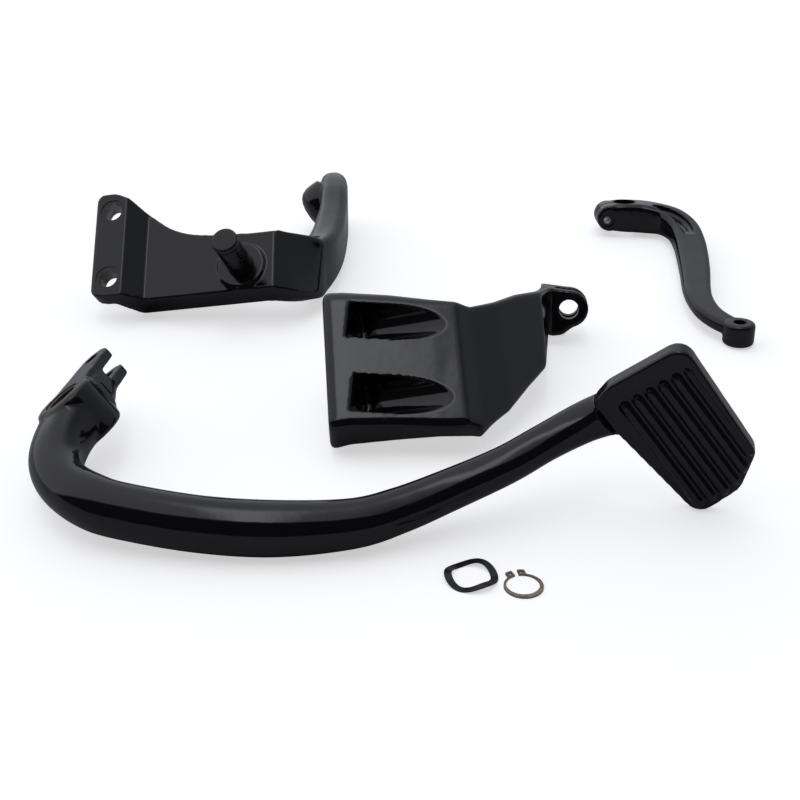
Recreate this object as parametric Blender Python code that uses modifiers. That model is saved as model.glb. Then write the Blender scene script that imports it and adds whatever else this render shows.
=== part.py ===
"""Motorcycle forward controls: two footpeg brackets, a brake pedal, a shift lever, a wave washer and a
retaining ring, laid out on a bench. Lengths are in millimetres here and are turned into metres when a mesh
is made. Every casting is modelled in a frame of its own, and an empty lays it down on the bench."""

import math

import bmesh
import bpy
import numpy as np
from mathutils import Matrix, Vector

MM = 0.001

# Sizes that fit each other
STUD_DIAMETER = 15.9
STUD_REACH = 31.8
BUSHING_WALL = 1.5
RUNNING_FIT = 0.15
PRESS_GAP = 0.3
RING_THICKNESS = 1.0
GROOVE_DEPTH = 0.4
GROOVE_FROM_TIP = 3.0
BOLT_HOLE = 11.6
PEG_PIN_HOLE = 11.5

# Brake-side bracket: x along the plate, y up the plate, z out of its face
PAD_WIDTH = 20.5
PAD_HEIGHT = 71.0
PAD_THICKNESS = 12.0
PAD_HOLE_X = 11.3
PAD_HOLE_Y = 12.0
PAD_HOLE_PITCH = 46.0
STEP_BACK = 10.8
WEB_END_X = 113.0
WEB_THICKNESS = 18.5
WEB_HEIGHT = 40.0
SECOND_STEP = 13.5
STUD_X = 92.3
STUD_Y = 16.5
STUD_BOSS_RADIUS = 14.5
STUD_BOSS_HEIGHT = 1.5
PAD_SPOTFACE = 15.6
PAD_SPOTFACE_DEPTH = 0.5
ARM_HALF_WIDTH = 11.0
BRACKET_CLEVIS_RADIUS = 15.5

# Shift-side bracket: x from the mounting face to the footpeg, y up the face, z out of it
BLOCK_LENGTH = 70.5
BLOCK_HEIGHT = 77.0
BLOCK_DEPTH = 27.0
BLOCK_CROWN = 4.2
BLOCK_FOOT = 25.5
BLOCK_FOOT_END = 15.0
SHOULDER_LENGTH = 47.4
POCKET_RADIUS = 11.0
POCKET_WALL = 12.2
POCKET_LENGTH = 52.0
POCKET_SLOPE = 22.5
POCKET_TURN = -8.0
POCKET_LOW_Y = 20.6
POCKET_PITCH = 44.0
CLEVIS_RADIUS = 11.5
CLEVIS_OUT = 72.6
CLEVIS_SLOT = 8.0
CLEVIS_EAR = 6.5

# Brake pedal: x along the pivot bore, y towards the pad, z out of the pad's face
PIVOT_LENGTH = 27.0
PIVOT_BOSS_RADIUS = 16.5
ROD_ARM = 40.0
ROD_PIN_HOLE = 8.0
ROD_FORK_SLOT = 6.5
ROD_FORK_WIDTH = 18.0
ROD_FORK_RADIUS = 9.5
GREASE_HOLE = 4.4
ARM_RADIUS = 13.2
PEDAL_PAD_LENGTH = 80.0
PEDAL_PAD_WIDTH = 51.0
PEDAL_PAD_THICKNESS = 10.0
PAD_RIM = 7.5
PAD_RECESS = 1.6
RIB_COUNT = 6
RIB_PITCH = 7.1

# Shift lever: x to the right, y from the peg boss to the clamp, z up
LEVER_CLAMP_BORE = 15.3
LEVER_CLAMP_HEIGHT = 20.0
LEVER_BOSS_RADIUS = 9.3
LEVER_BOSS_HEIGHT = 13.5
LEVER_PEG_HOLE = 7.7
LEVER_CLAMP_SLIT = 1.6
LEVER_PINCH_HOLE = 5.2
LEVER_PINCH_SEAT = 9.6
LEVER_PINCH_RADIUS = 9.0
LEVER_DISH_WIDTH = 9.0
LEVER_DISH_DEPTH = 4.0

# Loose hardware
WASHER_CLEARANCE = 1.5
WASHER_WIDTH = 3.5
WASHER_THICKNESS = 0.6
WASHER_WAVES = 3
WASHER_RISE = 1.1
RING_WIDTH = 2.2
RING_LUG = 3.7
RING_LUG_HOLE = 1.7

for old in list(bpy.data.objects):
    bpy.data.objects.remove(old, do_unlink=True)

parts = bpy.data.collections.new("forward_controls")
cutters = bpy.data.collections.new("cutters")
bpy.context.scene.collection.children.link(parts)
bpy.context.scene.collection.children.link(cutters)


def finish(name, colour, roughness, metallic):
    """A plain finish for one kind of surface."""
    made = bpy.data.materials.new(name)
    made.use_nodes = True
    shader = made.node_tree.nodes["Principled BSDF"]
    shader.inputs["Base Color"].default_value = (*colour, 1.0)
    shader.inputs["Roughness"].default_value = roughness
    shader.inputs["Metallic"].default_value = metallic
    return made


black_gloss = finish("black_gloss_coat", (0.012, 0.012, 0.014), 0.12, 0.0)
machined_steel = finish("machined_steel", (0.10, 0.10, 0.11), 0.35, 1.0)
bearing_bronze = finish("bearing_bronze", (0.16, 0.13, 0.10), 0.35, 1.0)
phosphate = finish("black_phosphate", (0.02, 0.02, 0.022), 0.5, 0.6)
spring_steel = finish("bare_spring_steel", (0.30, 0.26, 0.22), 0.32, 1.0)


def piece_frame(name, x_axis, z_axis, place):
    """An empty whose axes are the piece's own, at a place on the bench."""
    z = Vector(z_axis).normalized()
    x = (Vector(x_axis) - z * z.dot(Vector(x_axis))).normalized()
    turn = Matrix((x, z.cross(x), z)).transposed().to_4x4()
    empty = bpy.data.objects.new(name, None)
    empty.matrix_world = Matrix.Translation(Vector(place) * MM) @ turn
    parts.objects.link(empty)
    return empty


def add(name, mesh, frame, material=None, cutter=False):
    """A piece, or a tool that cuts or joins it, under the empty of its casting."""
    made = bpy.data.objects.new(name, mesh)
    (cutters if cutter else parts).objects.link(made)
    made.parent = frame
    if cutter:
        made.hide_render = True
        made.display_type = "WIRE"
        return made
    mesh.materials.append(material)
    mesh.shade_smooth()
    mesh.set_sharp_from_angle(angle=math.radians(35))
    return made


def combine(piece, tool, operation):
    """Joins a tool to a piece, cuts it away, or keeps what both hold."""
    step = piece.modifiers.new(operation.lower() + "_" + tool.name, "BOOLEAN")
    step.operation = operation
    step.solver = "EXACT"
    step.object = tool


def join(piece, name, mesh):
    """Adds a shape, made in the piece's own frame, to the piece."""
    combine(piece, add(name, mesh, piece.parent, cutter=True), "UNION")


def cut_away(piece, name, mesh):
    """Takes a shape, made in the piece's own frame, out of the piece."""
    combine(piece, add(name, mesh, piece.parent, cutter=True), "DIFFERENCE")


def mesh_of(name, points, faces):
    """A mesh from points in millimetres, with its faces turned outwards."""
    mesh = bpy.data.meshes.new(name)
    mesh.from_pydata([tuple(p * MM) for p in np.asarray(points, float)], [], faces)
    shape = bmesh.new()
    shape.from_mesh(mesh)
    bmesh.ops.recalc_face_normals(shape, faces=shape.faces)
    shape.to_mesh(mesh)
    shape.free()
    return mesh


X, Y, Z = np.eye(3)


def section(half_w, half_h, radius, corner_steps):
    """A rectangle with round corners, as points round the origin."""
    radius = min(radius, half_w, half_h)
    turn = np.linspace(0, math.pi / 2, corner_steps)
    ring = []
    for quarter, (sx, sy) in enumerate(((1, 1), (-1, 1), (-1, -1), (1, -1))):
        angle = turn + quarter * math.pi / 2
        ring.append(np.column_stack([sx * (half_w - radius) + radius * np.cos(angle),
                                     sy * (half_h - radius) + radius * np.sin(angle)]))
    return np.concatenate(ring)


def loft(name, rings, closed=False):
    """Skins a run of rings with the same number of points."""
    count = len(rings[0])
    points = np.concatenate(rings)
    faces = []
    for i in range(len(rings) - (0 if closed else 1)):
        low, high = i * count, ((i + 1) % len(rings)) * count
        for j in range(count):
            k = (j + 1) % count
            faces.append((low + j, low + k, high + k, high + j))
    if not closed:
        faces.append(tuple(range(count))[::-1])
        faces.append(tuple(range((len(rings) - 1) * count, len(rings) * count)))
    return mesh_of(name, points, faces)


def spline(rows, steps):
    """Points along a smooth Catmull-Rom curve through the rows, with steps to each span."""
    rows = np.asarray(rows, float)
    ends = np.vstack([2 * rows[0] - rows[1], rows, 2 * rows[-1] - rows[-2]])
    t = np.linspace(0, 1, steps, endpoint=False)[:, None]
    spans = []
    for a, b, c, d in zip(ends, ends[1:], ends[2:], ends[3:]):
        spans.append(0.5 * (2 * b + (c - a) * t + (2 * a - 5 * b + 4 * c - d) * t ** 2
                            + (3 * b - a - 3 * c + d) * t ** 3))
    return np.vstack(spans + [rows[-1:]])


def sweep(name, stations, steps, corner_steps):
    """A bar whose section changes along its path. A station is its centre, the direction of its height, and
    its half width, half height and corner radius."""
    track = spline(stations, steps)
    centre, tall, sizes = track[:, :3], track[:, 3:6], track[:, 6:9]
    along = np.gradient(centre, axis=0)
    along /= np.linalg.norm(along, axis=1)[:, None]
    side = np.cross(along, tall)
    side /= np.linalg.norm(side, axis=1)[:, None]
    tall = np.cross(side, along)
    rings = []
    for middle, s, h, (half_w, half_h, radius) in zip(centre, side, tall, sizes):
        ring = section(half_w, half_h, radius, corner_steps)
        rings.append(middle + ring[:, :1] * s + ring[:, 1:] * h)
    return loft(name, rings)


def slab(name, outline, centre, right, up, start, end):
    """A flat outline, measured to the right and up from its centre, pushed along its own normal."""
    centre, right, up = np.array(centre, float), np.array(right, float), np.array(up, float)
    right /= np.linalg.norm(right)
    normal = np.cross(right, up)
    normal /= np.linalg.norm(normal)
    up = np.cross(normal, right)
    flat = np.array([centre + u * right + v * up for u, v in outline])
    return loft(name, [flat + start * normal, flat + end * normal])


def rod(name, radius, start, end, sides=32):
    """A round bar between two points."""
    start, end = Vector(start), Vector(end)
    shape = bmesh.new()
    bmesh.ops.create_cone(shape, cap_ends=True, segments=sides, radius1=radius * MM, radius2=radius * MM,
                          depth=(end - start).length * MM)
    turn = Vector((0, 0, 1)).rotation_difference((end - start).normalized()).to_matrix().to_4x4()
    bmesh.ops.transform(shape, matrix=Matrix.Translation((start + end) * MM / 2) @ turn, verts=shape.verts)
    mesh = bpy.data.meshes.new(name)
    shape.to_mesh(mesh)
    shape.free()
    return mesh


def spun(name, profile, start, axis, sides=40):
    """A solid of rings: radius and distance along the axis from its start."""
    axis = Vector(axis).normalized()
    right = axis.orthogonal().normalized()
    up = axis.cross(right)
    rings = []
    for radius, far in profile:
        angles = np.linspace(0, 2 * math.pi, sides, endpoint=False)
        rings.append(np.array([tuple(Vector(start) + axis * far + right * radius * math.cos(a)
                                     + up * radius * math.sin(a)) for a in angles]))
    return loft(name, rings)


def turned(name, profile, frame, centre, axis, material, sides=40):
    """A turned piece: a profile of radius and height, given down its outer side, spun round its axis."""
    mesh = bpy.data.meshes.new(name)
    points = [(radius * MM, 0, height * MM) for radius, height in profile]
    mesh.from_pydata(points, [(i, i + 1) for i in range(len(points) - 1)], [])
    made = add(name, mesh, frame, material)
    made.location = Vector(centre) * MM
    made.rotation_euler = Vector((0, 0, 1)).rotation_difference(Vector(axis)).to_euler()
    spin = made.modifiers.new("spin", "SCREW")
    spin.axis = "Z"
    spin.steps = spin.render_steps = sides
    spin.use_merge_vertices = True
    spin.merge_threshold = 0.00001
    return made


def rounded_outline(corners, steps=5):
    """A polygon with each corner given as x, y, radius, and the corner turned by an arc."""
    out = []
    for i, (x, y, radius) in enumerate(corners):
        here = np.array((x, y), float)
        before = np.array(corners[i - 1][:2], float) - here
        after = np.array(corners[(i + 1) % len(corners)][:2], float) - here
        u, v = before / np.linalg.norm(before), after / np.linalg.norm(after)
        half = math.acos(max(-1.0, min(1.0, float(u @ v)))) / 2
        if radius == 0 or half > math.radians(88):
            out.append(here)
            continue
        reach = radius / math.tan(half)
        middle = here + (u + v) / np.linalg.norm(u + v) * radius / math.sin(half)
        first, last = here + u * reach - middle, here + v * reach - middle
        swing = math.pi - 2 * half
        sense = math.copysign(1.0, first[0] * last[1] - first[1] * last[0])
        for angle in np.linspace(0, swing, steps) * sense:
            c, s = math.cos(angle), math.sin(angle)
            out.append(middle + np.array((c * first[0] - s * first[1], s * first[0] + c * first[1])))
    return np.array(out)


def ellipse_arc(centre, radii, start, end, steps):
    """Points on an ellipse from one angle in degrees to another."""
    angle = np.radians(np.linspace(start, end, steps))
    return np.column_stack([centre[0] + radii[0] * np.cos(angle), centre[1] + radii[1] * np.sin(angle)])


# Brake-side bracket
bracket_frame = piece_frame("brake_bracket_frame", (0.98, -0.117, 0.159), (-0.197, -0.627, 0.755),
                            (-188.8, 97.6, 17.5))
plate_back = -STEP_BACK - WEB_THICKNESS
step_end = PAD_WIDTH + STEP_BACK - 0.8
second_end = WEB_END_X + SECOND_STEP + 1.0
web_profile = rounded_outline([
    (0, 0, 2.5), (0, -PAD_THICKNESS, 2.5), (12, -PAD_THICKNESS, 4), (24, plate_back, 5),
    (WEB_END_X - 4, plate_back, 5), (second_end - 6, plate_back - SECOND_STEP, 4),
    (second_end + 8, plate_back - SECOND_STEP, 4), (second_end + 8, -STEP_BACK - SECOND_STEP - 4, 4),
    (second_end, -STEP_BACK - SECOND_STEP, 1.5), (WEB_END_X, -STEP_BACK, 5), (step_end, -STEP_BACK, 4),
    (PAD_WIDTH, 0, 1.5)], 4)
web_front = np.vstack([
    rounded_outline([(-1, PAD_HEIGHT / 2, 0), (0, 0, 7), (PAD_WIDTH, 0, 0)])[1:-1],
    [(WEB_END_X, 0), (second_end + 9, -1.0)],
    [(second_end + 9, WEB_HEIGHT + 3), (second_end - 4, WEB_HEIGHT + 1.5), (WEB_END_X, WEB_HEIGHT - 1)],
    spline([(WEB_END_X - 15, WEB_HEIGHT - 1), (78, WEB_HEIGHT), (60, WEB_HEIGHT + 2.5),
            (46, WEB_HEIGHT + 8), (33, PAD_HEIGHT - 13), (PAD_WIDTH + 1, PAD_HEIGHT - 4)], 3),
    rounded_outline([(PAD_WIDTH, PAD_HEIGHT - 3, 0), (12, PAD_HEIGHT, 6), (0, PAD_HEIGHT, 6),
                     (0, 10, 0)])[1:-1]])
web_run = slab("bracket_plan", web_profile, (0, 0, 0), X, Z, -PAD_HEIGHT - 1, 2)
brake_bracket = add("brake_side_bracket", web_run, bracket_frame, black_gloss)
front_cut = slab("bracket_front", web_front, (0, 0, 0), X, Y, -60, 5)
front = add("bracket_front", front_cut, bracket_frame, cutter=True)
combine(brake_bracket, front, "INTERSECT")
boss = rod("stud_boss", STUD_BOSS_RADIUS, (STUD_X, STUD_Y, plate_back / 2),
           (STUD_X, STUD_Y, -STEP_BACK + STUD_BOSS_HEIGHT), 40)
join(brake_bracket, "stud_boss", boss)
bench_up = (0.159, 0.637, 0.754)
w = ARM_HALF_WIDTH
wx, wy = WEB_END_X, WEB_HEIGHT / 2
arm_path = [
    (wx + 15.5, wy - 1.0, -37.0, *bench_up, w - 2.6, wy - 5.5, 7.0),
    (wx + 14.6, wy + 12.0, -50.5, *bench_up, w - 1.8, wy - 4.6, 7.5),
    (wx + 17.4, wy + 30.9, -69.7, *bench_up, w - 0.7, wy - 3.8, 7.5),
    (wx + 12.3, wy + 62.2, -93.7, *bench_up, w, wy - 2.7, 7.5),
    (wx + 7.7, wy + 90.4, -113.9, *bench_up, w, wy - 0.6, 7.5),
    (wx + 5.3, wy + 109.7, -129.5, *bench_up, w - 1.5, wy - 2.0, 7.4),
    (wx + 4.2, wy + 116.8, -136.3, *bench_up, w - 5.2, wy - 6.5, 4.4)]
join(brake_bracket, "bracket_arm", sweep("bracket_arm", arm_path, 4, 6))
peg_centre = Vector((WEB_END_X + 2.2, 117.5, -120.2))
peg_axis = Vector((-0.848, -0.530, 0.0)).normalized()
half_clevis = CLEVIS_EAR + CLEVIS_SLOT / 2
clevis_r = BRACKET_CLEVIS_RADIUS
lobe_edge = [
    (clevis_r, -4), (clevis_r, half_clevis - 4.5), (clevis_r - 1.4, half_clevis - 1.3),
    (clevis_r - 4.5, half_clevis)]
lobe = spun("bracket_clevis", lobe_edge, peg_centre, peg_axis, 36)
join(brake_bracket, "bracket_clevis", lobe)
gap = [(-CLEVIS_SLOT / 2, -70), (CLEVIS_SLOT / 2, -70), (CLEVIS_SLOT / 2, 4), (-CLEVIS_SLOT / 2, 4)]
clevis_gap = slab("bracket_clevis_gap", gap, peg_centre, peg_axis, Z, -45, 45)
cut_away(brake_bracket, "bracket_clevis_gap", clevis_gap)
through = peg_axis * 30
peg_hole = rod("bracket_peg_hole", PEG_PIN_HOLE / 2, peg_centre - through, peg_centre + through, 24)
cut_away(brake_bracket, "bracket_peg_hole", peg_hole)
for number in range(2):
    hole_y = PAD_HOLE_Y + number * PAD_HOLE_PITCH
    above = (PAD_HOLE_X, hole_y, 10)
    hole = rod("bolt_hole", BOLT_HOLE / 2, (PAD_HOLE_X, hole_y, -60), above)
    cut_away(brake_bracket, f"bolt_hole_{number}", hole)
    spotface = rod("spotface", PAD_SPOTFACE / 2, (PAD_HOLE_X, hole_y, -PAD_SPOTFACE_DEPTH), above)
    cut_away(brake_bracket, f"spotface_{number}", spotface)
seat_radius = STUD_DIAMETER / 2 + PRESS_GAP
seat_depth = STUD_BOSS_HEIGHT + 12.0
seat_floor = -STEP_BACK + STUD_BOSS_HEIGHT - seat_depth
seat = rod("stud_seat", seat_radius, (STUD_X, STUD_Y, seat_floor), (STUD_X, STUD_Y, 10), 40)
cut_away(brake_bracket, "stud_seat", seat)

# Pivot stud, with its groove for the retaining ring
radius = STUD_DIAMETER / 2
groove_width = RING_THICKNESS + 0.2
groove_radius = radius - GROOVE_DEPTH
tip = STUD_REACH
stud_profile = [
    (0, tip), (radius - 1.2, tip), (radius, tip - 1.2), (radius, tip - GROOVE_FROM_TIP),
    (groove_radius, tip - GROOVE_FROM_TIP), (groove_radius, tip - GROOVE_FROM_TIP - groove_width),
    (radius, tip - GROOVE_FROM_TIP - groove_width), (radius, 0.8 - seat_depth), (radius - 0.8, -seat_depth),
    (0, -seat_depth)]
turned("pedal_pivot_stud", stud_profile, bracket_frame,
       (STUD_X, STUD_Y, seat_floor + seat_depth + PRESS_GAP), (0, 0, 1), machined_steel)

# Shift-side bracket
block_frame = piece_frame("shift_bracket_frame", (0.9976, 0.0592, 0.037), (0, -0.53, 0.848),
                          (-35.8, -68.95, 21.1))


def four_corners(corners, radii, steps=6):
    """A ring through four corners given in space, each turned by a soft curve of its own size."""
    ring = []
    corners = np.array(corners, float)
    t = np.linspace(0, 1, steps)[:, None]
    for i, radius in enumerate(radii):
        here = corners[i]
        before, after = corners[i - 1] - here, corners[(i + 1) % 4] - here
        first = here + before / np.linalg.norm(before) * radius
        last = here + after / np.linalg.norm(after) * radius
        ring.append((1 - t) ** 2 * first + 2 * t * (1 - t) * here + t ** 2 * last)
    return np.concatenate(ring)


def block_ring(share, low, high, inset, radii):
    """A section of the block at a share of its length. Its front stands at height 0, its back at the block's
    depth, and its lower edge runs from the deep foot at the mounting face to the shallow one."""
    x = share * BLOCK_LENGTH
    foot = float(np.interp(share, (0, 0.45, 0.8), (BLOCK_FOOT, BLOCK_FOOT - 4, BLOCK_FOOT_END)))
    heel = low - 2.5 * (1 - share)
    crown = high + BLOCK_CROWN
    corners = [(x, low, -inset), (x, crown, -inset), (x, crown, inset - BLOCK_DEPTH), (x, heel, inset - foot)]
    return four_corners(corners, radii)


top = BLOCK_HEIGHT
block_rings = [
    block_ring(0.0, 1.3, top + 3.5, 1.8, (3, 10, 3, 3)),
    block_ring(0.024, 0.6, top + 5.0, 0.2, (4, 12, 4, 3)),
    block_ring(0.15, 1.6, top + 5.2, 0, (5, 13, 5, 4)),
    block_ring(0.5, -0.2, top + 1.5, 0, (6, 12, 5, 4)),
    block_ring(0.8, -3.0, top - 4.0, 0, (8, 9, 5, 4))]
# The shoulder falls away on one flat facet, then its end wall drops to the root of the clevis
end, out = BLOCK_LENGTH, SHOULDER_LENGTH
shoulder = [
    [(end, -4.2, 0), (end, top - 3.7, -0.3), (end, top - 3.5, -BLOCK_DEPTH), (end, -4.2, -BLOCK_FOOT_END)],
    [(end + 7.7, -4.4, -6.6), (end + 7.6, top - 3.6, -6.2), (end + 4, top - 3, -28), (end + 6, -3, -17)],
    [(end + out / 2 + 1, 11.5, -17.5), (end + out / 2 - 1, top + 5.0, -15.9), (end + 15, top + 7, -36),
     (end + 16, 22, -33)],
    [(end + out - 9.3, 31.2, -27.0), (end + out - 10.4, top + 15.6, -26.2), (end + 27, top + 20, -48),
     (end + 27, 47, -50)],
    [(end + out + 1, 46.3, -34.4), (end + out + 4.2, top + 23.3, -36.5), (end + 42, top + 34, -62),
     (end + 38, 70, -68)],
    [(end + CLEVIS_OUT - 11.5, 103.5, -83.0), (end + CLEVIS_OUT - 9.8, 121.5, -67.0),
     (end + CLEVIS_OUT - 10.5, 132, -80), (end + CLEVIS_OUT - 11, 115, -96)]]
soft = [(7, 5, 5, 4), (4, 5, 6, 4), (4, 5, 8, 5), (4, 5, 8, 5), (5, 6, 8, 5), (3, 3, 3, 3)]
rows = np.array([np.concatenate([np.ravel(corners), radii]) for corners, radii in zip(shoulder, soft)])
steps = np.linspace(0, 1, 4, endpoint=False)[:, None]
for before, after in zip(rows, rows[1:]):
    for row in before + (after - before) * steps:
        block_rings.append(four_corners(row[:12].reshape(4, 3), row[12:]))
block_rings.append(four_corners(rows[-1, :12].reshape(4, 3), rows[-1, 12:]))
shift_bracket = add("shift_side_bracket", loft("shift_side_bracket", block_rings), block_frame, black_gloss)
clevis_axis = Vector((-0.146, -0.656, 0.741)).normalized()
clevis_right, clevis_up = (0.992, -0.154, 0.053), (0.052, 0.744, 0.666)
near_hole = Vector((BLOCK_LENGTH + CLEVIS_OUT, 109.4, -73.4))
clevis_centre = near_hole - clevis_axis * half_clevis
r = CLEVIS_RADIUS
clevis_outline = np.vstack([
    ellipse_arc((0, 0), (r, r - 0.5), 95, -75, 14),
    [(-3, -15.5), (-9, -16.5), (-r - 5.5, -14), (-r - 5.5, 12.5)]])
clevis = slab("clevis", clevis_outline, clevis_centre, clevis_right, clevis_up, -half_clevis, half_clevis)
join(shift_bracket, "clevis", clevis)
gap = [(-8, -CLEVIS_SLOT / 2), (60, -CLEVIS_SLOT / 2), (60, CLEVIS_SLOT / 2), (-8, CLEVIS_SLOT / 2)]
clevis_gap = slab("clevis_gap", gap, clevis_centre, clevis_right, clevis_axis, -40, 40)
cut_away(shift_bracket, "clevis_gap", clevis_gap)
through = clevis_axis * 30
clevis_hole = rod("clevis_pin_hole", PEG_PIN_HOLE / 2, clevis_centre - through, clevis_centre + through)
cut_away(shift_bracket, "clevis_pin_hole", clevis_hole)

slope, turn = math.radians(POCKET_SLOPE), math.radians(POCKET_TURN)
trough = Vector((math.cos(slope) * math.cos(turn), math.cos(slope) * math.sin(turn), math.sin(slope)))
across = Vector((0, 0, 1)).cross(trough).normalized()
rise = trough.cross(across)
pocket_run = POCKET_LENGTH - POCKET_RADIUS / math.sin(slope)
for number in range(2):
    mouth_y = POCKET_LOW_Y + number * POCKET_PITCH + pocket_run * math.tan(turn)
    mouth = Vector((POCKET_WALL + pocket_run, mouth_y, 0))
    wall = mouth - trough * pocket_run * math.cos(slope)
    round_floor = ellipse_arc((0, 0), (POCKET_RADIUS, POCKET_RADIUS), 180, 360, 18)
    channel = np.vstack([round_floor, [(POCKET_RADIUS, 60), (-POCKET_RADIUS, 60)]])
    rings = [np.array([wall + trough * run + across * u + rise * v for u, v in channel]) for run in (0, 90)]
    cut_away(shift_bracket, f"pocket_{number}", loft("pocket", rings))
    bolt = rod("pocket_bolt_hole", BOLT_HOLE / 2, wall - trough * 60, wall + trough * 5)
    cut_away(shift_bracket, f"pocket_bolt_hole_{number}", bolt)

# Brake pedal
pedal_frame = piece_frame("brake_pedal_frame", (0.6091, -0.0904, -0.7879), (-0.1907, -0.981, -0.0349),
                          (-169.0, -63.8, 36.0))
bench_down = (0.788, -0.615, 0.035)
half_pivot = PIVOT_LENGTH / 2
r = ARM_RADIUS
pedal_path = [
    (half_pivot, -1.0, -14.0, 1.0, 0.0, 0.0, 14.5, half_pivot - 1, 9.0),
    (half_pivot, -1.0, 2.0, 1.0, 0.0, 0.0, 15.5, half_pivot, 10.0),
    (15.3, -2.0, 22.0, 0.97, -0.1, 0.0, 14.0, 12.8, 11.0),
    (19.0, 0.5, 39.0, 0.90, -0.4, 0.03, 13.0, 12.5, 12.0),
    (25.7, 8.4, 53.0, 0.84, -0.52, 0.04, 12.5, 12.3, 12.0),
    (35.9, 20.4, 62.5, *bench_down, r, r, r),
    (47.1, 32.4, 65.8, *bench_down, r, r, r),
    (71.6, 59.7, 66.0, *bench_down, r, r, r),
    (94.2, 86.1, 61.0, *bench_down, r, r - 0.2, r),
    (114.9, 112.7, 50.9, *bench_down, 11.8, 11.6, 11.6),
    (125.6, 129.9, 39.3, *bench_down, 11.0, 10.6, 10.6),
    (134.5, 148.6, 26.0, *bench_down, 10.2, 9.8, 9.8),
    (143.1, 172.7, 12.5, *bench_down, 9.6, 9.0, 9.0),
    (148.7, 190.5, -0.8, *bench_down, 9.4, 8.8, 8.8),
    (154.0, 208.0, -11.5, *bench_down, 9.4, 9.4, 8.0),
    (158.0, 222.0, -15.5, *bench_down, 9.0, 10.0, 6.0)]
brake_pedal = add("brake_pedal", sweep("brake_pedal", pedal_path, 4, 6), pedal_frame, black_gloss)
boss_r = PIVOT_BOSS_RADIUS
boss_edge = [
    (boss_r - 2.5, 0), (boss_r - 0.7, 0.7), (boss_r, 2.5), (boss_r, PIVOT_LENGTH - 2.5),
    (boss_r - 0.7, PIVOT_LENGTH - 0.7), (boss_r - 2.5, PIVOT_LENGTH)]
pivot_boss = spun("pivot_boss", boss_edge, (0, 0, 0), (1, 0, 0), 48)
join(brake_pedal, "pivot_boss", pivot_boss)
neck_path = [
    (ROD_FORK_WIDTH / 2, 0, -ROD_ARM + 4, 1, 0, 0, ROD_FORK_RADIUS, ROD_FORK_WIDTH / 2, 4),
    (ROD_FORK_WIDTH / 2 + 0.4, 0, -ROD_ARM + 12, 1, 0, 0, ROD_FORK_RADIUS + 1, ROD_FORK_WIDTH / 2 + 0.4, 6),
    (half_pivot - 1.8, 0, -14, 1, 0, 0, 13, half_pivot - 1.8, 8),
    (half_pivot, -1, 4, 1, 0, 0, 15.5, half_pivot, 10)]
join(brake_pedal, "fork_neck", sweep("fork_neck", neck_path, 4, 6))
fork = np.vstack([ellipse_arc((0, -ROD_ARM), (ROD_FORK_RADIUS, ROD_FORK_RADIUS), 180, 360, 14),
                  [(ROD_FORK_RADIUS + 2, 0), (-ROD_FORK_RADIUS - 2, 0)]])
join(brake_pedal, "rod_fork", slab("rod_fork", fork, (0, 0, 0), Y, Z, 0, ROD_FORK_WIDTH))
gap_floor = -ROD_ARM + ROD_FORK_RADIUS + 4
fork_gap = [(-20, -80), (20, -80), (20, gap_floor), (-20, gap_floor)]
gap_from = (ROD_FORK_WIDTH - ROD_FORK_SLOT) / 2
gap_to = gap_from + ROD_FORK_SLOT
cut_away(brake_pedal, "rod_fork_gap", slab("rod_fork_gap", fork_gap, (0, 0, 0), Y, Z, gap_from, gap_to))
rod_pin = rod("rod_pin_hole", ROD_PIN_HOLE / 2, (-20, 0, -ROD_ARM), (50, 0, -ROD_ARM), 24)
cut_away(brake_pedal, "rod_pin_hole", rod_pin)
pad_top, pad_left = 142.5, 219.0
pad_end, pad_right = pad_top + PEDAL_PAD_LENGTH, pad_left + PEDAL_PAD_WIDTH
pad_face = -7.0
pad_outline = rounded_outline([
    (pad_top + 3, pad_left + 1, 3), (pad_top, pad_left + 10, 10), (pad_top, pad_right, 8),
    (pad_end - 14, pad_right - 2.5, 9), (pad_end, pad_right - 20, 13), (pad_end + 3, pad_left + 6, 8),
    (pad_top + 26, pad_left - 1, 8), (pad_top + 12, pad_left - 4, 8)], 5)
pad = slab("pedal_pad", pad_outline, (0, 0, 0), X, Y, pad_face - PEDAL_PAD_THICKNESS, pad_face)
join(brake_pedal, "pedal_pad", pad)
bore_radius = STUD_DIAMETER / 2 + RUNNING_FIT + BUSHING_WALL + PRESS_GAP
pivot_bore = rod("pivot_bore", bore_radius, (-10, 0, 0), (PIVOT_LENGTH + 20, 0, 0), 40)
cut_away(brake_pedal, "pivot_bore", pivot_bore)
recess = rounded_outline([
    (pad_top + PAD_RIM, pad_left - 1.5, 0), (pad_top + PAD_RIM, pad_right - PAD_RIM, 5),
    (pad_end + 20, pad_right - PAD_RIM + 1, 0), (pad_end + 20, pad_left - 1.5, 0)], 6)
tread = pad_face - PAD_RECESS
cut_away(brake_pedal, "pad_recess", slab("pad_recess", recess, (0, 0, 0), X, Y, tread, pad_face + 20))
grease = Vector((7.0, -6.0, 12.0))
grease_hole = rod("grease_hole", GREASE_HOLE / 2, grease, grease + Vector((0, -12, 24)), 16)
cut_away(brake_pedal, "grease_hole", grease_hole)
first_rib = pad_left + 10.4
rib_top, rib_end = pad_top + 11.0, pad_end + 8.0
for number in range(RIB_COUNT + 1):
    groove_y = first_rib + (number - 0.5) * RIB_PITCH
    end = rib_end if number < RIB_COUNT else pad_end - 12
    groove = rod("pad_groove", RIB_PITCH / 2 - 0.9, (rib_top, groove_y, tread + 0.6),
                 (end, groove_y, tread + 0.6), 16)
    cut_away(brake_pedal, f"pad_groove_{number}", groove)

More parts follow.
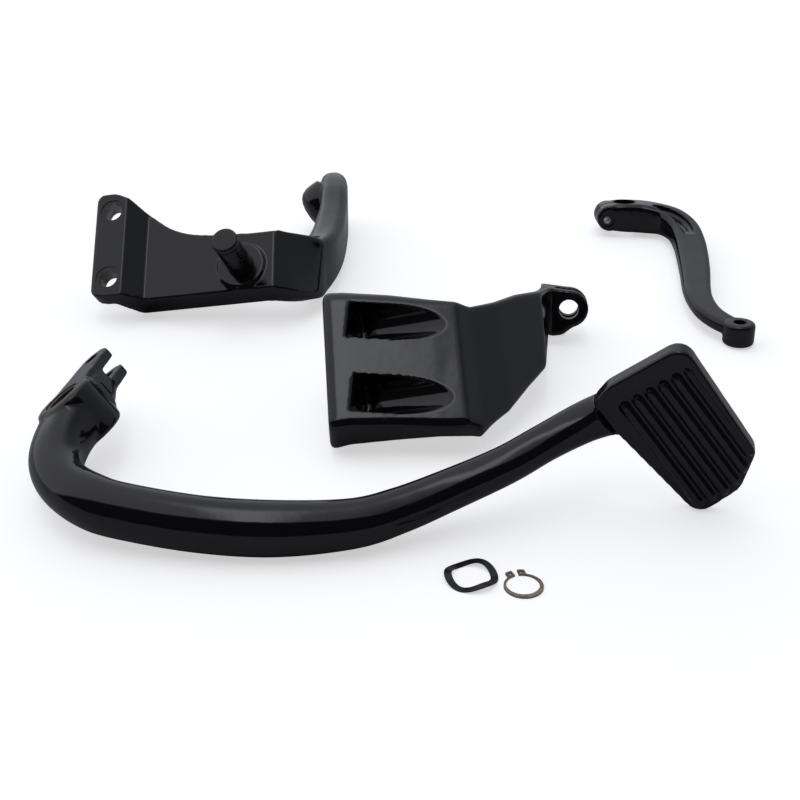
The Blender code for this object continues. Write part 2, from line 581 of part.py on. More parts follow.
# Plain bearing in the pedal's pivot bore
bushing_inner = STUD_DIAMETER / 2 + RUNNING_FIT
bushing_outer = bushing_inner + BUSHING_WALL
turned("pedal_bushing", [
    (bushing_inner, PIVOT_LENGTH - 0.5), (bushing_outer - 0.3, PIVOT_LENGTH - 0.5),
    (bushing_outer, PIVOT_LENGTH - 0.8), (bushing_outer, 0.8), (bushing_outer - 0.3, 0.5),
    (bushing_inner, 0.5), (bushing_inner, PIVOT_LENGTH - 0.5)], pedal_frame, (0, 0, 0), (1, 0, 0),
    bearing_bronze)

# Shift lever
lever_frame = piece_frame("shift_lever_frame", (1, 0, 0), (0, 0, 1), (200.9, 70.0, 0))
clamp_centre = Vector((-43.4, 180.9, 11.6))
clamp_axis = Vector((0, 0.15, 0.99)).normalized()
tall = LEVER_CLAMP_HEIGHT / 2
lever_path = [
    (-54.0, 180.5, 11.7, 0, 0.15, 1, 10.5, tall - 1.2, 4.0),
    (-50.0, 180.8, 11.7, 0, 0.15, 1, 10.8, tall - 0.4, 4.0),
    (-43.4, 180.9, 11.6, 0, 0.15, 1, 11.2, tall, 4.0),
    (-29.0, 179.5, 11.2, 0, 0.15, 1, 11.0, tall, 4.0),
    (-14.0, 173.0, 10.6, 0, 0.12, 1, 10.6, tall - 1.2, 4.0),
    (-6.5, 157.0, 10.0, 0, 0.08, 1, 10.5, tall - 2.6, 4.0),
    (-5.5, 135.0, 9.4, 0, 0.05, 1, 10.4, tall - 3.8, 3.5),
    (-7.5, 110.0, 8.9, 0, 0.03, 1, 10.2, tall - 4.7, 3.2),
    (-10.5, 85.0, 8.7, 0, 0, 1, 9.6, tall - 5.2, 3.0),
    (-14.2, 60.0, 8.8, 0, 0, 1, 8.8, tall - 5.6, 3.0),
    (-15.4, 42.0, 8.9, 0, 0, 1, 8.0, tall - 5.8, 3.0),
    (-13.7, 24.0, 9.0, 0, 0, 1, 7.6, tall - 6.0, 3.0),
    (-8.0, 10.0, 9.0, 0, 0, 1, 7.2, tall - 6.0, 3.0),
    (0.0, 0.0, 9.0, 0, 0, 1, 7.0, tall - 6.2, 3.0)]
shift_lever = add("shift_lever", sweep("shift_lever", lever_path, 3, 4), lever_frame, black_gloss)
peg_axis = Vector((0, 0.06, 1)).normalized()
boss_r, boss_h = LEVER_BOSS_RADIUS, LEVER_BOSS_HEIGHT
boss_edge = [
    (boss_r - 1.2, 0), (boss_r, 1.2), (boss_r, boss_h - 1.6), (boss_r - 0.5, boss_h - 0.5),
    (boss_r - 1.6, boss_h)]
peg_boss = spun("peg_boss", boss_edge, (0, 0, 0), peg_axis, 40)
join(shift_lever, "peg_boss", peg_boss)
pinch = clamp_centre + Vector((-12.6, 0, -1.4))
pinch_axis = Vector((0, 1, -0.15)).normalized()
end_r = LEVER_PINCH_RADIUS
round_end = spun("clamp_end", [(end_r - 1, -10.8), (end_r, -9.8), (end_r, 9.8), (end_r - 1, 10.8)],
                 pinch + Vector((1.9, 0, 1.4)), pinch_axis, 40)
join(shift_lever, "clamp_end", round_end)
peg_hole = rod("peg_hole", LEVER_PEG_HOLE / 2, peg_axis * -20, peg_axis * 40, 24)
cut_away(shift_lever, "peg_hole", peg_hole)
clamp_bore = rod("clamp_bore", LEVER_CLAMP_BORE / 2, clamp_centre - clamp_axis * 30,
                 clamp_centre + clamp_axis * 30, 40)
cut_away(shift_lever, "clamp_bore", clamp_bore)
half_slit = LEVER_CLAMP_SLIT / 2
slit = [(-40, -half_slit), (0, -half_slit), (0, half_slit), (-40, half_slit)]
cut_away(shift_lever, "clamp_slit", slab("clamp_slit", slit, clamp_centre, X, (0, 0.99, -0.15), -30, 30))
pinch_hole = rod("pinch_hole", LEVER_PINCH_HOLE / 2, pinch - pinch_axis * 30, pinch + pinch_axis * 30, 24)
cut_away(shift_lever, "pinch_hole", pinch_hole)
pinch_seat = rod("pinch_seat", LEVER_PINCH_SEAT / 2, pinch - pinch_axis * 30, pinch - pinch_axis * 9.6, 24)
cut_away(shift_lever, "pinch_seat", pinch_seat)
dish = LEVER_DISH_WIDTH / 2
dish_path = [
    (-24.0, 176.5, 20.2, 0, 0.14, 1, dish - 2.0, LEVER_DISH_DEPTH - 1, 2.0),
    (-17.0, 173.0, 19.6, 0, 0.12, 1, dish, LEVER_DISH_DEPTH, 2.5),
    (-9.5, 163.5, 18.3, 0, 0.10, 1, dish, LEVER_DISH_DEPTH, 2.5),
    (-6.2, 150.0, 17.2, 0, 0.08, 1, dish, LEVER_DISH_DEPTH - 0.6, 2.5),
    (-5.6, 136.0, 16.6, 0, 0.05, 1, dish - 0.8, LEVER_DISH_DEPTH - 2.2, 1.8)]
cut_away(shift_lever, "lever_dish", sweep("lever_dish", dish_path, 3, 4))

# Wave washer
washer_frame = piece_frame("wave_washer_frame", (1, 0, 0), (0, 0, 1), (31.7, -166.9, WASHER_RISE))
inner = (STUD_DIAMETER + WASHER_CLEARANCE) / 2
outer = inner + WASHER_WIDTH
washer_rings = []
for angle in np.linspace(0, 2 * math.pi, 72, endpoint=False):
    wave = -WASHER_RISE * math.cos(WASHER_WAVES * angle)
    rise = WASHER_THICKNESS / 2
    corners = [(inner, -rise), (outer, -rise), (outer, rise), (inner, rise)]
    washer_rings.append(np.array([(q * math.cos(angle), q * math.sin(angle), h + wave) for q, h in corners]))
add("wave_washer", loft("wave_washer", washer_rings, closed=True), washer_frame, phosphate)

# Retaining ring: wide opposite its gap, with a lug and a plier hole on each side of the gap
ring_frame = piece_frame("retaining_ring_frame", (0.9563, 0.2924, 0), (0, 0, 1), (54.4, -173.0, 0))
ring_inner = groove_radius - 0.05
lug_angle = 24.0
lug_out = ring_inner + RING_LUG


def ring_edge(angles, radius_of):
    """Points at a radius that depends on the angle from the gap, in degrees."""
    turns = [math.radians(a) for a in angles]
    return [(radius_of(a) * math.sin(t), radius_of(a) * math.cos(t)) for a, t in zip(angles, turns)]


def body_radius(a):
    """The outer radius of the ring's body: narrow at the lugs, widest opposite the gap."""
    return ring_inner + RING_WIDTH * (0.62 - 0.38 * math.cos(math.radians(a)))


gap_angle = 7.0
outer_edge = ring_edge(np.linspace(lug_angle + 8, 360 - lug_angle - 8, 45), body_radius)
left_lug = ring_edge(np.linspace(360 - lug_angle, 360 - gap_angle, 6), lambda a: lug_out)
right_lug = ring_edge(np.linspace(gap_angle, lug_angle, 6), lambda a: lug_out)
inner_edge = ring_edge(np.linspace(360 - gap_angle, gap_angle, 49), lambda a: ring_inner)
curve = bpy.data.curves.new("retaining_ring", "CURVE")
curve.dimensions = "2D"
curve.fill_mode = "BOTH"
curve.extrude = RING_THICKNESS / 2 * MM
loops = [outer_edge + left_lug + inner_edge + right_lug]
for side in (-1, 1):
    middle = side * (lug_angle + gap_angle) / 2
    hx, hy = ring_edge([middle], lambda a: ring_inner + RING_LUG * 0.52)[0]
    loops.append([(hx + RING_LUG_HOLE / 2 * math.cos(t), hy + RING_LUG_HOLE / 2 * math.sin(t))
                  for t in np.linspace(0, 2 * math.pi, 14, endpoint=False)])
for loop in loops:
    line = curve.splines.new("POLY")
    line.points.add(len(loop) - 1)
    for point, (x, y) in zip(line.points, loop):
        point.co = (x * MM, y * MM, RING_THICKNESS / 2 * MM, 1)
    line.use_cyclic_u = True
ring_curve = bpy.data.objects.new("retaining_ring_outline", curve)
cutters.objects.link(ring_curve)
ring_mesh = bpy.data.meshes.new_from_object(ring_curve.evaluated_get(bpy.context.evaluated_depsgraph_get()))
ring_mesh.transform(ring_curve.matrix_world)
bpy.data.objects.remove(ring_curve)
welded = bmesh.new()
welded.from_mesh(ring_mesh)
bmesh.ops.remove_doubles(welded, verts=welded.verts, dist=0.00001)
welded.to_mesh(ring_mesh)
welded.free()
ring_mesh.materials.clear()
add("retaining_ring", ring_mesh, ring_frame, spring_steel)


def corners(objects):
    """The lowest and highest corner of some objects as they are seen."""
    graph = bpy.context.evaluated_depsgraph_get()
    every = []
    for thing in objects:
        seen = thing.evaluated_get(graph)
        mesh = seen.to_mesh()
        points = np.empty(len(mesh.vertices) * 3)
        mesh.vertices.foreach_get("co", points)
        turn = np.array(seen.matrix_world.to_3x3()).T
        points = points.reshape(-1, 3) @ turn + seen.matrix_world.translation
        seen.to_mesh_clear()
        every.append(points)
    every = np.vstack(every)
    return every.min(axis=0), every.max(axis=0)


# Each casting comes down until it touches the bench, then the whole kit is centred over the origin
bpy.context.view_layer.update()
frames = [thing for thing in parts.objects if thing.type == "EMPTY"]
for frame in frames:
    low, high = corners([thing for thing in frame.children if thing.type == "MESH" and not thing.hide_render])
    frame.location.z -= low[2]
bpy.context.view_layer.update()
low, high = corners([thing for thing in parts.objects if thing.type == "MESH"])
for frame in frames:
    frame.location.x -= (low[0] + high[0]) / 2
    frame.location.y -= (low[1] + high[1]) / 2
print("kit centre", (low + high) / 2)
bpy.context.view_layer.update()
for frame in frames:
    print("place", frame.name, [round(v / MM, 3) for v in frame.matrix_world.translation])
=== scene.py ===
"""Motorcycle forward controls laid out on a white bench: two footpeg brackets, a brake pedal, a shift lever,
a wave washer and a retaining ring. The castings carry a glossy black coat."""
import math
import bmesh
import bpy
import numpy as np
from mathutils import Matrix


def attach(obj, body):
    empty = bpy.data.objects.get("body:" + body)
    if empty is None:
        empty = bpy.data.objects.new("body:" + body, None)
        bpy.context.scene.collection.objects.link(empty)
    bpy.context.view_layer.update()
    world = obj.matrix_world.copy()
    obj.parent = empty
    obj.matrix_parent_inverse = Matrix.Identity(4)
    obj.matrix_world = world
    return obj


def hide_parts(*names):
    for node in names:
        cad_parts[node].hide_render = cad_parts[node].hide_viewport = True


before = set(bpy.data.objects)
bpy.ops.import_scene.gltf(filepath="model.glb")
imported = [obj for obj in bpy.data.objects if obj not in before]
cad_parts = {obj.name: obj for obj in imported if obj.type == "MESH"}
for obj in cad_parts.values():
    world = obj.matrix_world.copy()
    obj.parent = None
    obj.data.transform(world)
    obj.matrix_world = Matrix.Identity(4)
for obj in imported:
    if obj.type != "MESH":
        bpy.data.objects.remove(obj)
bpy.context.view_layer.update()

# The camera stands in front of the bench and looks down at it.
camera = bpy.data.objects.new("bench_camera", bpy.data.cameras.new("bench_camera"))
camera.data.lens = 63.0
camera.data.sensor_width = 36.0
camera.data.clip_start = 0.01
camera.location = (-0.010577, -0.725532, 0.367)
camera.rotation_euler = (math.radians(61.6), 0, 0)
bpy.context.scene.collection.objects.link(camera)
bpy.context.scene.camera = camera

# The bench: a sheet of plain white card. Part of its white is a glow that only the camera sees, and the rest
# carries the shadows. In the reflections of the coat the card is grey.
card_reach, card_lines = 5.0, 11
across = np.linspace(-card_reach, card_reach, card_lines)
grid_x, grid_y = np.meshgrid(across, across)
card = bpy.data.meshes.new("bench_card")
cells = np.arange(card_lines ** 2).reshape(card_lines, card_lines)
squares = np.stack([cells[:-1, :-1], cells[:-1, 1:], cells[1:, 1:], cells[1:, :-1]], -1).reshape(-1, 4)
card.from_pydata(np.column_stack([grid_x.ravel(), grid_y.ravel(), np.zeros(card_lines ** 2)]).tolist(), [],
                 squares.tolist())
bench = bpy.data.objects.new("bench_card", card)
bpy.context.scene.collection.objects.link(bench)
seen_white, reflected_grey, card_glow = (0.90, 0.90, 0.91, 1), (0.50, 0.50, 0.52, 1), 0.56
white_card = bpy.data.materials.new("white_card")
white_card.use_nodes = True
nodes, links = white_card.node_tree.nodes, white_card.node_tree.links
matt = nodes["Principled BSDF"]
matt.inputs["Roughness"].default_value = 0.9
matt.inputs["Specular IOR Level"].default_value = 0.1
path = nodes.new("ShaderNodeLightPath")
glow = nodes.new("ShaderNodeEmission")
glow.inputs["Color"].default_value = (1.0, 1.0, 1.0, 1)
share = nodes.new("ShaderNodeMath")
share.operation = "MULTIPLY"
links.new(path.outputs["Is Camera Ray"], share.inputs[0])
share.inputs[1].default_value = card_glow
links.new(share.outputs[0], glow.inputs["Strength"])
grey = nodes.new("ShaderNodeMix")
grey.data_type = "RGBA"
links.new(path.outputs["Is Glossy Ray"], grey.inputs["Factor"])
grey.inputs["A"].default_value = seen_white
grey.inputs["B"].default_value = reflected_grey
links.new(grey.outputs["Result"], matt.inputs["Base Color"])
both = nodes.new("ShaderNodeAddShader")
links.new(matt.outputs[0], both.inputs[0])
links.new(glow.outputs[0], both.inputs[1])
links.new(both.outputs[0], nodes["Material Output"].inputs["Surface"])
card.materials.append(white_card)

# The light: a narrow bright lamp overhead, a ceiling and a back wall that are paler on the left than on the
# right, and a dark room on the camera's side. The camera itself sees plain white, which lights nothing.
room = bpy.data.worlds.new("studio_room")
bpy.context.scene.world = room
room.use_nodes = True
nodes, links = room.node_tree.nodes, room.node_tree.links
where = nodes.new("ShaderNodeTexCoord")
split = nodes.new("ShaderNodeSeparateXYZ")
links.new(where.outputs["Generated"], split.inputs[0])


def room_sum(parts, offset):
    """A node that adds up the direction's x, y and z, each times its own factor, and an offset."""
    last = None
    for axis, factor in enumerate(parts):
        step = nodes.new("ShaderNodeMath")
        step.operation = "MULTIPLY_ADD"
        links.new(split.outputs[axis], step.inputs[0])
        step.inputs[1].default_value = factor
        if last is None:
            step.inputs[2].default_value = offset
        else:
            links.new(last, step.inputs[2])
        last = step.outputs[0]
    return last


def room_edge(value, low, high):
    """A soft edge: nought below low, one above high, and a smooth step between."""
    edge = nodes.new("ShaderNodeMapRange")
    edge.interpolation_type = "SMOOTHSTEP"
    links.new(value, edge.inputs["Value"])
    edge.inputs["From Min"].default_value = low
    edge.inputs["From Max"].default_value = high
    return edge.outputs["Result"]


def room_mix(factor, first, second):
    """One colour or the other, by a factor."""
    mix = nodes.new("ShaderNodeMix")
    mix.data_type = "RGBA"
    links.new(factor, mix.inputs["Factor"])
    for socket, colour in ((mix.inputs["A"], first), (mix.inputs["B"], second)):
        if isinstance(colour, tuple):
            socket.default_value = (*colour, 1)
        else:
            links.new(colour, socket)
    return mix.outputs["Result"]


black, lamp_glow, plain_white = (0.0, 0.0, 0.0), (1.35, 1.38, 1.46), (1.0, 1.0, 1.0)
ceiling_left, ceiling_right = (0.77, 0.78, 0.83), (0.27, 0.28, 0.31)
wall_left, wall_right = (0.62, 0.63, 0.67), (0.29, 0.30, 0.33)
dark_front, under_bench = (0.03, 0.03, 0.035), (0.2, 0.2, 0.2)
lamp_left, lamp_right, lamp_back = (-0.20, -0.08), (-0.05, 0.11), (0.15, 0.5)
to_right = room_sum((1.0, 0.0, 0.0), 0.0)
to_back = room_sum((0.0, 1.0, 0.0), 0.0)
upward = room_sum((0.0, 0.0, 1.0), 0.0)
lamp = room_mix(room_edge(to_right, *lamp_left), black, lamp_glow)
lamp = room_mix(room_edge(to_right, *lamp_right), lamp, black)
lamp = room_mix(room_edge(to_back, *lamp_back), lamp, black)
right_half = room_edge(to_right, 0.0, 0.5)
ceiling = room_mix(right_half, ceiling_left, ceiling_right)
wall = room_mix(right_half, wall_left, wall_right)
wall_edge = room_edge(room_sum((0.0, 0.80, -0.60), 0.0), -0.25, 0.25)
lit = nodes.new("ShaderNodeMix")
lit.data_type = "RGBA"
lit.blend_type = "ADD"
lit.inputs["Factor"].default_value = 1.0
links.new(room_mix(wall_edge, ceiling, wall), lit.inputs["A"])
links.new(lamp, lit.inputs["B"])
front_edge = room_edge(room_sum((0.0, 0.85, 0.53), 0.0), -0.03, 0.06)
above = room_mix(front_edge, dark_front, lit.outputs["Result"])
around = room_mix(room_edge(upward, -0.02, 0.02), under_bench, above)
path = nodes.new("ShaderNodeLightPath")
sky = room_mix(path.outputs["Is Camera Ray"], around, plain_white)
links.new(sky, nodes["Background"].inputs["Color"])
nodes["Background"].inputs["Strength"].default_value = 1.0
bpy.context.scene.view_settings.view_transform = "Standard"


# Brake-side bracket: a steel casting under a glossy black coat, bolted to the frame rail through two holes.
# Its plate steps back twice and carries the pedal's pivot stud, and an arm runs back from the plate's end to
# the fork that holds the footpeg.
MM = 0.001
X, Y, Z = np.eye(3)


def spline(rows, steps):
    """Points along a smooth curve through the rows. Each span is a cubic in t whose slope at a row is half
    the way from the row before to the row after, with the columns worked out together."""
    rows = np.asarray(rows, float)
    ends = np.vstack([2 * rows[0] - rows[1], rows, 2 * rows[-1] - rows[-2]])
    t = np.linspace(0, 1, steps, endpoint=False)[None, :, None]
    a, b, c, d = ends[:-3, None], ends[1:-2, None], ends[2:-1, None], ends[3:, None]
    square, cube = 2 * a - 5 * b + 4 * c - d, 3 * b - a - 3 * c + d
    spans = 0.5 * (2 * b + (c - a) * t + square * t ** 2 + cube * t ** 3)
    return np.vstack([spans.reshape(-1, rows.shape[1]), rows[-1:]])


def unit(rows):
    """Each row over its own length."""
    rows = np.asarray(rows, float)
    return rows / np.linalg.norm(rows, axis=-1, keepdims=True)


def shell(rings, closed=False):
    """A skin over a grid: point j of ring i joins the next point of its ring and the same two of the next
    ring. The first and last rings are filled, unless the run closes on itself."""
    rings = np.asarray(rings, float)
    count, around_it = rings.shape[:2]
    index = np.arange(count * around_it).reshape(count, around_it)
    beside = np.roll(index, -1, 1)
    low, high = (index, np.roll(index, -1, 0)) if closed else (index[:-1], index[1:])
    low_beside, high_beside = (beside, np.roll(beside, -1, 0)) if closed else (beside[:-1], beside[1:])
    faces = np.stack([low, low_beside, high_beside, high], -1).reshape(-1, 4).tolist()
    if not closed:
        faces += [index[0][::-1].tolist(), index[-1].tolist()]
    return rings.reshape(-1, 3), faces


def bar(stations, steps=16, corner_steps=10):
    """A bar carried along a path. At t its section is a rectangle of half width w(t) and half height h(t)
    with corners of radius r(t), set square to the path, and its height lies nearest the direction u(t). A
    station is the point, the direction u, and w, h and r."""
    track = spline(stations, steps)
    centre, tall, sizes = track[:, :3], track[:, 3:6], track[:, 6:9]
    along = unit(np.gradient(centre, axis=0))
    side = unit(np.cross(along, tall))
    tall = np.cross(side, along)
    half_w, half_h = sizes[:, :1], sizes[:, 1:2]
    radius = np.minimum(sizes[:, 2:3], np.minimum(half_w, half_h))
    turn = np.linspace(0, math.pi / 2, corner_steps)
    angle = np.concatenate([turn + quarter * math.pi / 2 for quarter in range(4)])[None, :]
    sx = np.repeat([1, -1, -1, 1], corner_steps)[None, :]
    sy = np.repeat([1, 1, -1, -1], corner_steps)[None, :]
    u = sx * (half_w - radius) + radius * np.cos(angle)
    v = sy * (half_h - radius) + radius * np.sin(angle)
    return shell(centre[:, None] + u[..., None] * side[:, None] + v[..., None] * tall[:, None])


def plate(outline, centre, right, up, start, end):
    """A flat outline pushed along its normal: point = centre + u right + v up + w normal, w from start to
    end."""
    centre, right = np.asarray(centre, float), unit(right)
    normal = unit(np.cross(right, up))
    up = np.cross(normal, right)
    outline = np.asarray(outline, float)
    flat = centre + outline[:, :1] * right + outline[:, 1:] * up
    return shell([flat + start * normal, flat + end * normal])


def round_bar(profile, start, axis, sides=96):
    """A turned bar: radius and height pairs along the axis from its start, spun round it."""
    axis = unit(axis)
    helper = X if abs(axis[0]) < 0.8 else Y
    right = unit(np.cross(helper, axis))
    up = np.cross(axis, right)
    profile = np.asarray(profile, float)
    angle = np.linspace(0, 2 * math.pi, sides, endpoint=False)
    round_it = np.cos(angle)[:, None] * right + np.sin(angle)[:, None] * up
    return shell(np.asarray(start, float) + profile[:, :1, None] * round_it[None]
                 + profile[:, 1][:, None, None] * axis)


def rod(radius, start, end, sides=96):
    """A plain round bar between two points."""
    start, end = np.asarray(start, float), np.asarray(end, float)
    return round_bar([(radius, 0), (radius, np.linalg.norm(end - start))], start, end - start, sides)


def outline_of(corners, steps=12):
    """A polygon whose corners, given as x, y and radius, are turned by arcs that touch both sides."""
    corners = np.asarray(corners, float)
    place, radius = corners[:, :2], corners[:, 2]
    u, v = unit(np.roll(place, 1, 0) - place), unit(np.roll(place, -1, 0) - place)
    half = np.arccos(np.clip((u * v).sum(1), -1, 1)) / 2
    sharp = (radius == 0) | (half > math.radians(88))
    reach = np.where(sharp, 0, radius / np.tan(half))
    bisector = unit(u + v + 1e-9)
    middle = place + bisector * np.where(sharp, 0, radius / np.sin(half))[:, None]
    first, last = place + u * reach[:, None] - middle, place + v * reach[:, None] - middle
    swing = (math.pi - 2 * half) * np.sign(first[:, 0] * last[:, 1] - first[:, 1] * last[:, 0])
    angle = np.linspace(0, 1, steps)[None, :] * swing[:, None]
    c, s = np.cos(angle), np.sin(angle)
    x, y = first[:, :1], first[:, 1:]
    arcs = middle[:, None] + np.stack([c * x - s * y, s * x + c * y], -1)
    return np.vstack([place[i:i + 1] if sharp[i] else arcs[i] for i in range(len(corners))])


def mesh_of(name, shells):
    """One mesh from several closed skins, faces turned outwards."""
    starts = np.cumsum([0] + [len(points) for points, faces in shells])
    mesh = bpy.data.meshes.new(name)
    faces = [[n + int(start) for n in face]
             for start, (points, rows) in zip(starts, shells) for face in rows]
    mesh.from_pydata(np.vstack([points for points, rows in shells]).tolist(), [], faces)
    work = bmesh.new()
    work.from_mesh(mesh)
    bmesh.ops.recalc_face_normals(work, faces=work.faces)
    work.to_mesh(mesh)
    work.free()
    return mesh


def set_down(name, shells):
    """An object made of the skins, linked to the scene."""
    made = bpy.data.objects.new(name, mesh_of(name, shells))
    bpy.context.scene.collection.objects.link(made)
    return made


def settle(piece):
    """Works the piece's modifiers into its mesh."""
    bpy.context.view_layer.update()
    worked = bpy.data.meshes.new_from_object(piece.evaluated_get(bpy.context.evaluated_depsgraph_get()))
    piece.modifiers.clear()
    piece.data = worked


def cut(piece, tools, operation="DIFFERENCE"):
    """Cuts the tools from the piece one after another, or keeps only what lies in them."""
    made = [set_down(piece.name + "_tool", [tool]) for tool in tools]
    for tool in made:
        step = piece.modifiers.new("cut", "BOOLEAN")
        step.operation = operation
        step.solver = "MANIFOLD"
        step.object = tool
    settle(piece)
    for tool in made:
        bpy.data.objects.remove(tool)


def cast(piece, grain, passes):
    """The casting's skin: everything joined on a fine cubic grid, then each point moved half way to the
    middle of its neighbours, as many times as passes says, which rounds edges and fills corners."""
    grid = piece.modifiers.new("grid", "REMESH")
    grid.mode = "VOXEL"
    grid.voxel_size = grain
    grid.use_smooth_shade = True
    if passes:
        ease = piece.modifiers.new("ease", "SMOOTH")
        ease.factor = 0.5
        ease.iterations = passes
    settle(piece)


def add_solids(piece, shells):
    """Adds more closed skins to the piece's mesh, to be joined by the next cast."""
    extra = mesh_of("extra", shells)
    work = bmesh.new()
    work.from_mesh(piece.data)
    work.from_mesh(extra)
    work.to_mesh(piece.data)
    work.free()


def lay_down(piece, x_axis, z_axis, origin):
    """Turns the piece's own millimetres into its place on the bench: origin + x right + y up + z out."""
    z = unit(z_axis)
    x = unit(np.asarray(x_axis, float) - z * np.dot(z, x_axis))
    turn = np.array([x, np.cross(z, x), z])
    mesh = piece.data
    points = np.empty(len(mesh.vertices) * 3)
    mesh.vertices.foreach_get("co", points)
    points = (points.reshape(-1, 3) @ turn + np.asarray(origin, float)) * MM
    mesh.vertices.foreach_set("co", points.ravel())
    mesh.update()


def mark_wear(piece, passes=7, full=0.00022):
    """Stores how far each point stands proud of its eased surroundings, as a share of full, in the attribute
    wear: near one on an outer edge, nought on a flat and in a corner."""
    mesh = piece.data
    count = len(mesh.vertices)
    points, normals = np.empty(count * 3), np.empty(count * 3)
    mesh.vertices.foreach_get("co", points)
    mesh.vertices.foreach_get("normal", normals)
    points, normals = points.reshape(-1, 3), normals.reshape(-1, 3)
    edges = np.empty(len(mesh.edges) * 2, int)
    mesh.edges.foreach_get("vertices", edges)
    a, b = edges.reshape(-1, 2).T
    share = 1 / np.maximum(np.bincount(np.concatenate([a, b]), minlength=count), 1)
    eased = points.copy()
    for _ in range(passes):
        total = [np.bincount(np.concatenate([a, b]), np.concatenate([eased[b, k], eased[a, k]]), count)
                 for k in range(3)]
        eased = np.stack(total, 1) * share[:, None]
    proud = ((points - eased) * normals).sum(1) / full
    store = mesh.attributes.new("wear", "FLOAT", "POINT")
    store.data.foreach_set("value", np.clip(proud, 0, 1))


def node_of(tree, kind, inputs=None, settings=None):
    """A node with its settings made and its inputs set or linked."""
    made = tree.nodes.new(kind)
    for key, value in (settings or {}).items():
        setattr(made, key, value)
    for key, value in (inputs or {}).items():
        if isinstance(value, bpy.types.NodeSocket):
            tree.links.new(value, made.inputs[key])
        else:
            made.inputs[key].default_value = value
    return made


def band_of(tree, value, low, high, to_low=0.0, to_high=1.0):
    """Maps low..high of a value smoothly onto to_low..to_high."""
    inputs = {"Value": value, "From Min": low, "From Max": high, "To Min": to_low, "To Max": to_high}
    smooth = {"interpolation_type": "SMOOTHSTEP"}
    return node_of(tree, "ShaderNodeMapRange", inputs, smooth).outputs["Result"]


def math_of(tree, operation, first, second, third=0.0):
    """A sum worked out by a node."""
    inputs = {0: first, 1: second, 2: third}
    return node_of(tree, "ShaderNodeMath", inputs, {"operation": operation}).outputs[0]


def blend_of(tree, factor, first, second):
    """One colour turning into another as the factor goes from nought to one."""
    first, second = [(*c, 1.0) if isinstance(c, tuple) else c for c in (first, second)]
    return node_of(tree, "ShaderNodeMix", {"Factor": factor, "A": first, "B": second},
                   {"data_type": "RGBA"}).outputs["Result"]


def noise_of(tree, place, scale, detail=3.0, roughness=0.5):
    """A cloud pattern, scale waves to the metre."""
    return node_of(tree, "ShaderNodeTexNoise", {"Vector": place, "Scale": scale, "Detail": detail,
                   "Roughness": roughness}).outputs["Fac"]


def bump_of(tree, height, strength, distance, under=None):
    """A bump laid over the one under it: strength times a height of so many metres."""
    inputs = {"Height": height, "Strength": strength, "Distance": distance}
    if under is not None:
        inputs["Normal"] = under
    return node_of(tree, "ShaderNodeBump", inputs).outputs[0]


def gloss_coat(name, shift, peel=0.55, sheen=0.085):
    """Glossy black coat over a casting: faint orange peel over slow waves of the cast skin, roughness that
    drifts, light smears and dust, and edges rubbed a little thinner and duller."""
    coat = bpy.data.materials.new(name)
    coat.use_nodes = True
    tree = coat.node_tree
    shader = tree.nodes["Principled BSDF"]
    coords = node_of(tree, "ShaderNodeTexCoord").outputs["Object"]
    place = node_of(tree, "ShaderNodeMapping", {"Vector": coords, "Location": shift}).outputs["Vector"]
    wear = node_of(tree, "ShaderNodeAttribute", settings={"attribute_name": "wear"}).outputs["Fac"]
    drift = noise_of(tree, place, 38.0, 4.0, 0.55)
    smear = band_of(tree, noise_of(tree, place, 95.0, 5.0, 0.7), 0.56, 0.72)
    speck = band_of(tree, noise_of(tree, place, 2600.0, 1.0, 0.4), 0.735, 0.775)
    patchy = band_of(tree, noise_of(tree, place, 320.0, 4.0, 0.75), 0.45, 0.65)
    rubbed = math_of(tree, "MULTIPLY", band_of(tree, wear, 0.35, 1.0), patchy)
    black = blend_of(tree, drift, (0.0036, 0.0036, 0.0044), (0.0062, 0.0061, 0.0068))
    dusty = blend_of(tree, math_of(tree, "MULTIPLY", speck, 0.35), black, (0.10, 0.10, 0.105))
    worn = blend_of(tree, math_of(tree, "MULTIPLY", rubbed, 0.55), dusty, (0.020, 0.019, 0.019))
    tree.links.new(worn, shader.inputs["Base Color"])
    gloss = math_of(tree, "MULTIPLY_ADD", drift, 0.05, sheen - 0.02)
    gloss = math_of(tree, "MULTIPLY_ADD", smear, 0.035, gloss)
    gloss = math_of(tree, "MULTIPLY_ADD", rubbed, 0.16, gloss)
    tree.links.new(gloss, shader.inputs["Roughness"])
    shader.inputs["IOR"].default_value = 1.52
    waves = bump_of(tree, noise_of(tree, place, 62.0, 2.0, 0.4), 0.35, 0.00055)
    skin = bump_of(tree, noise_of(tree, place, 330.0, 2.0, 0.5), peel, 0.00004, waves)
    fine = bump_of(tree, noise_of(tree, place, 1500.0, 2.0, 0.5), 0.25, 0.000006, skin)
    tree.links.new(fine, shader.inputs["Normal"])
    return coat


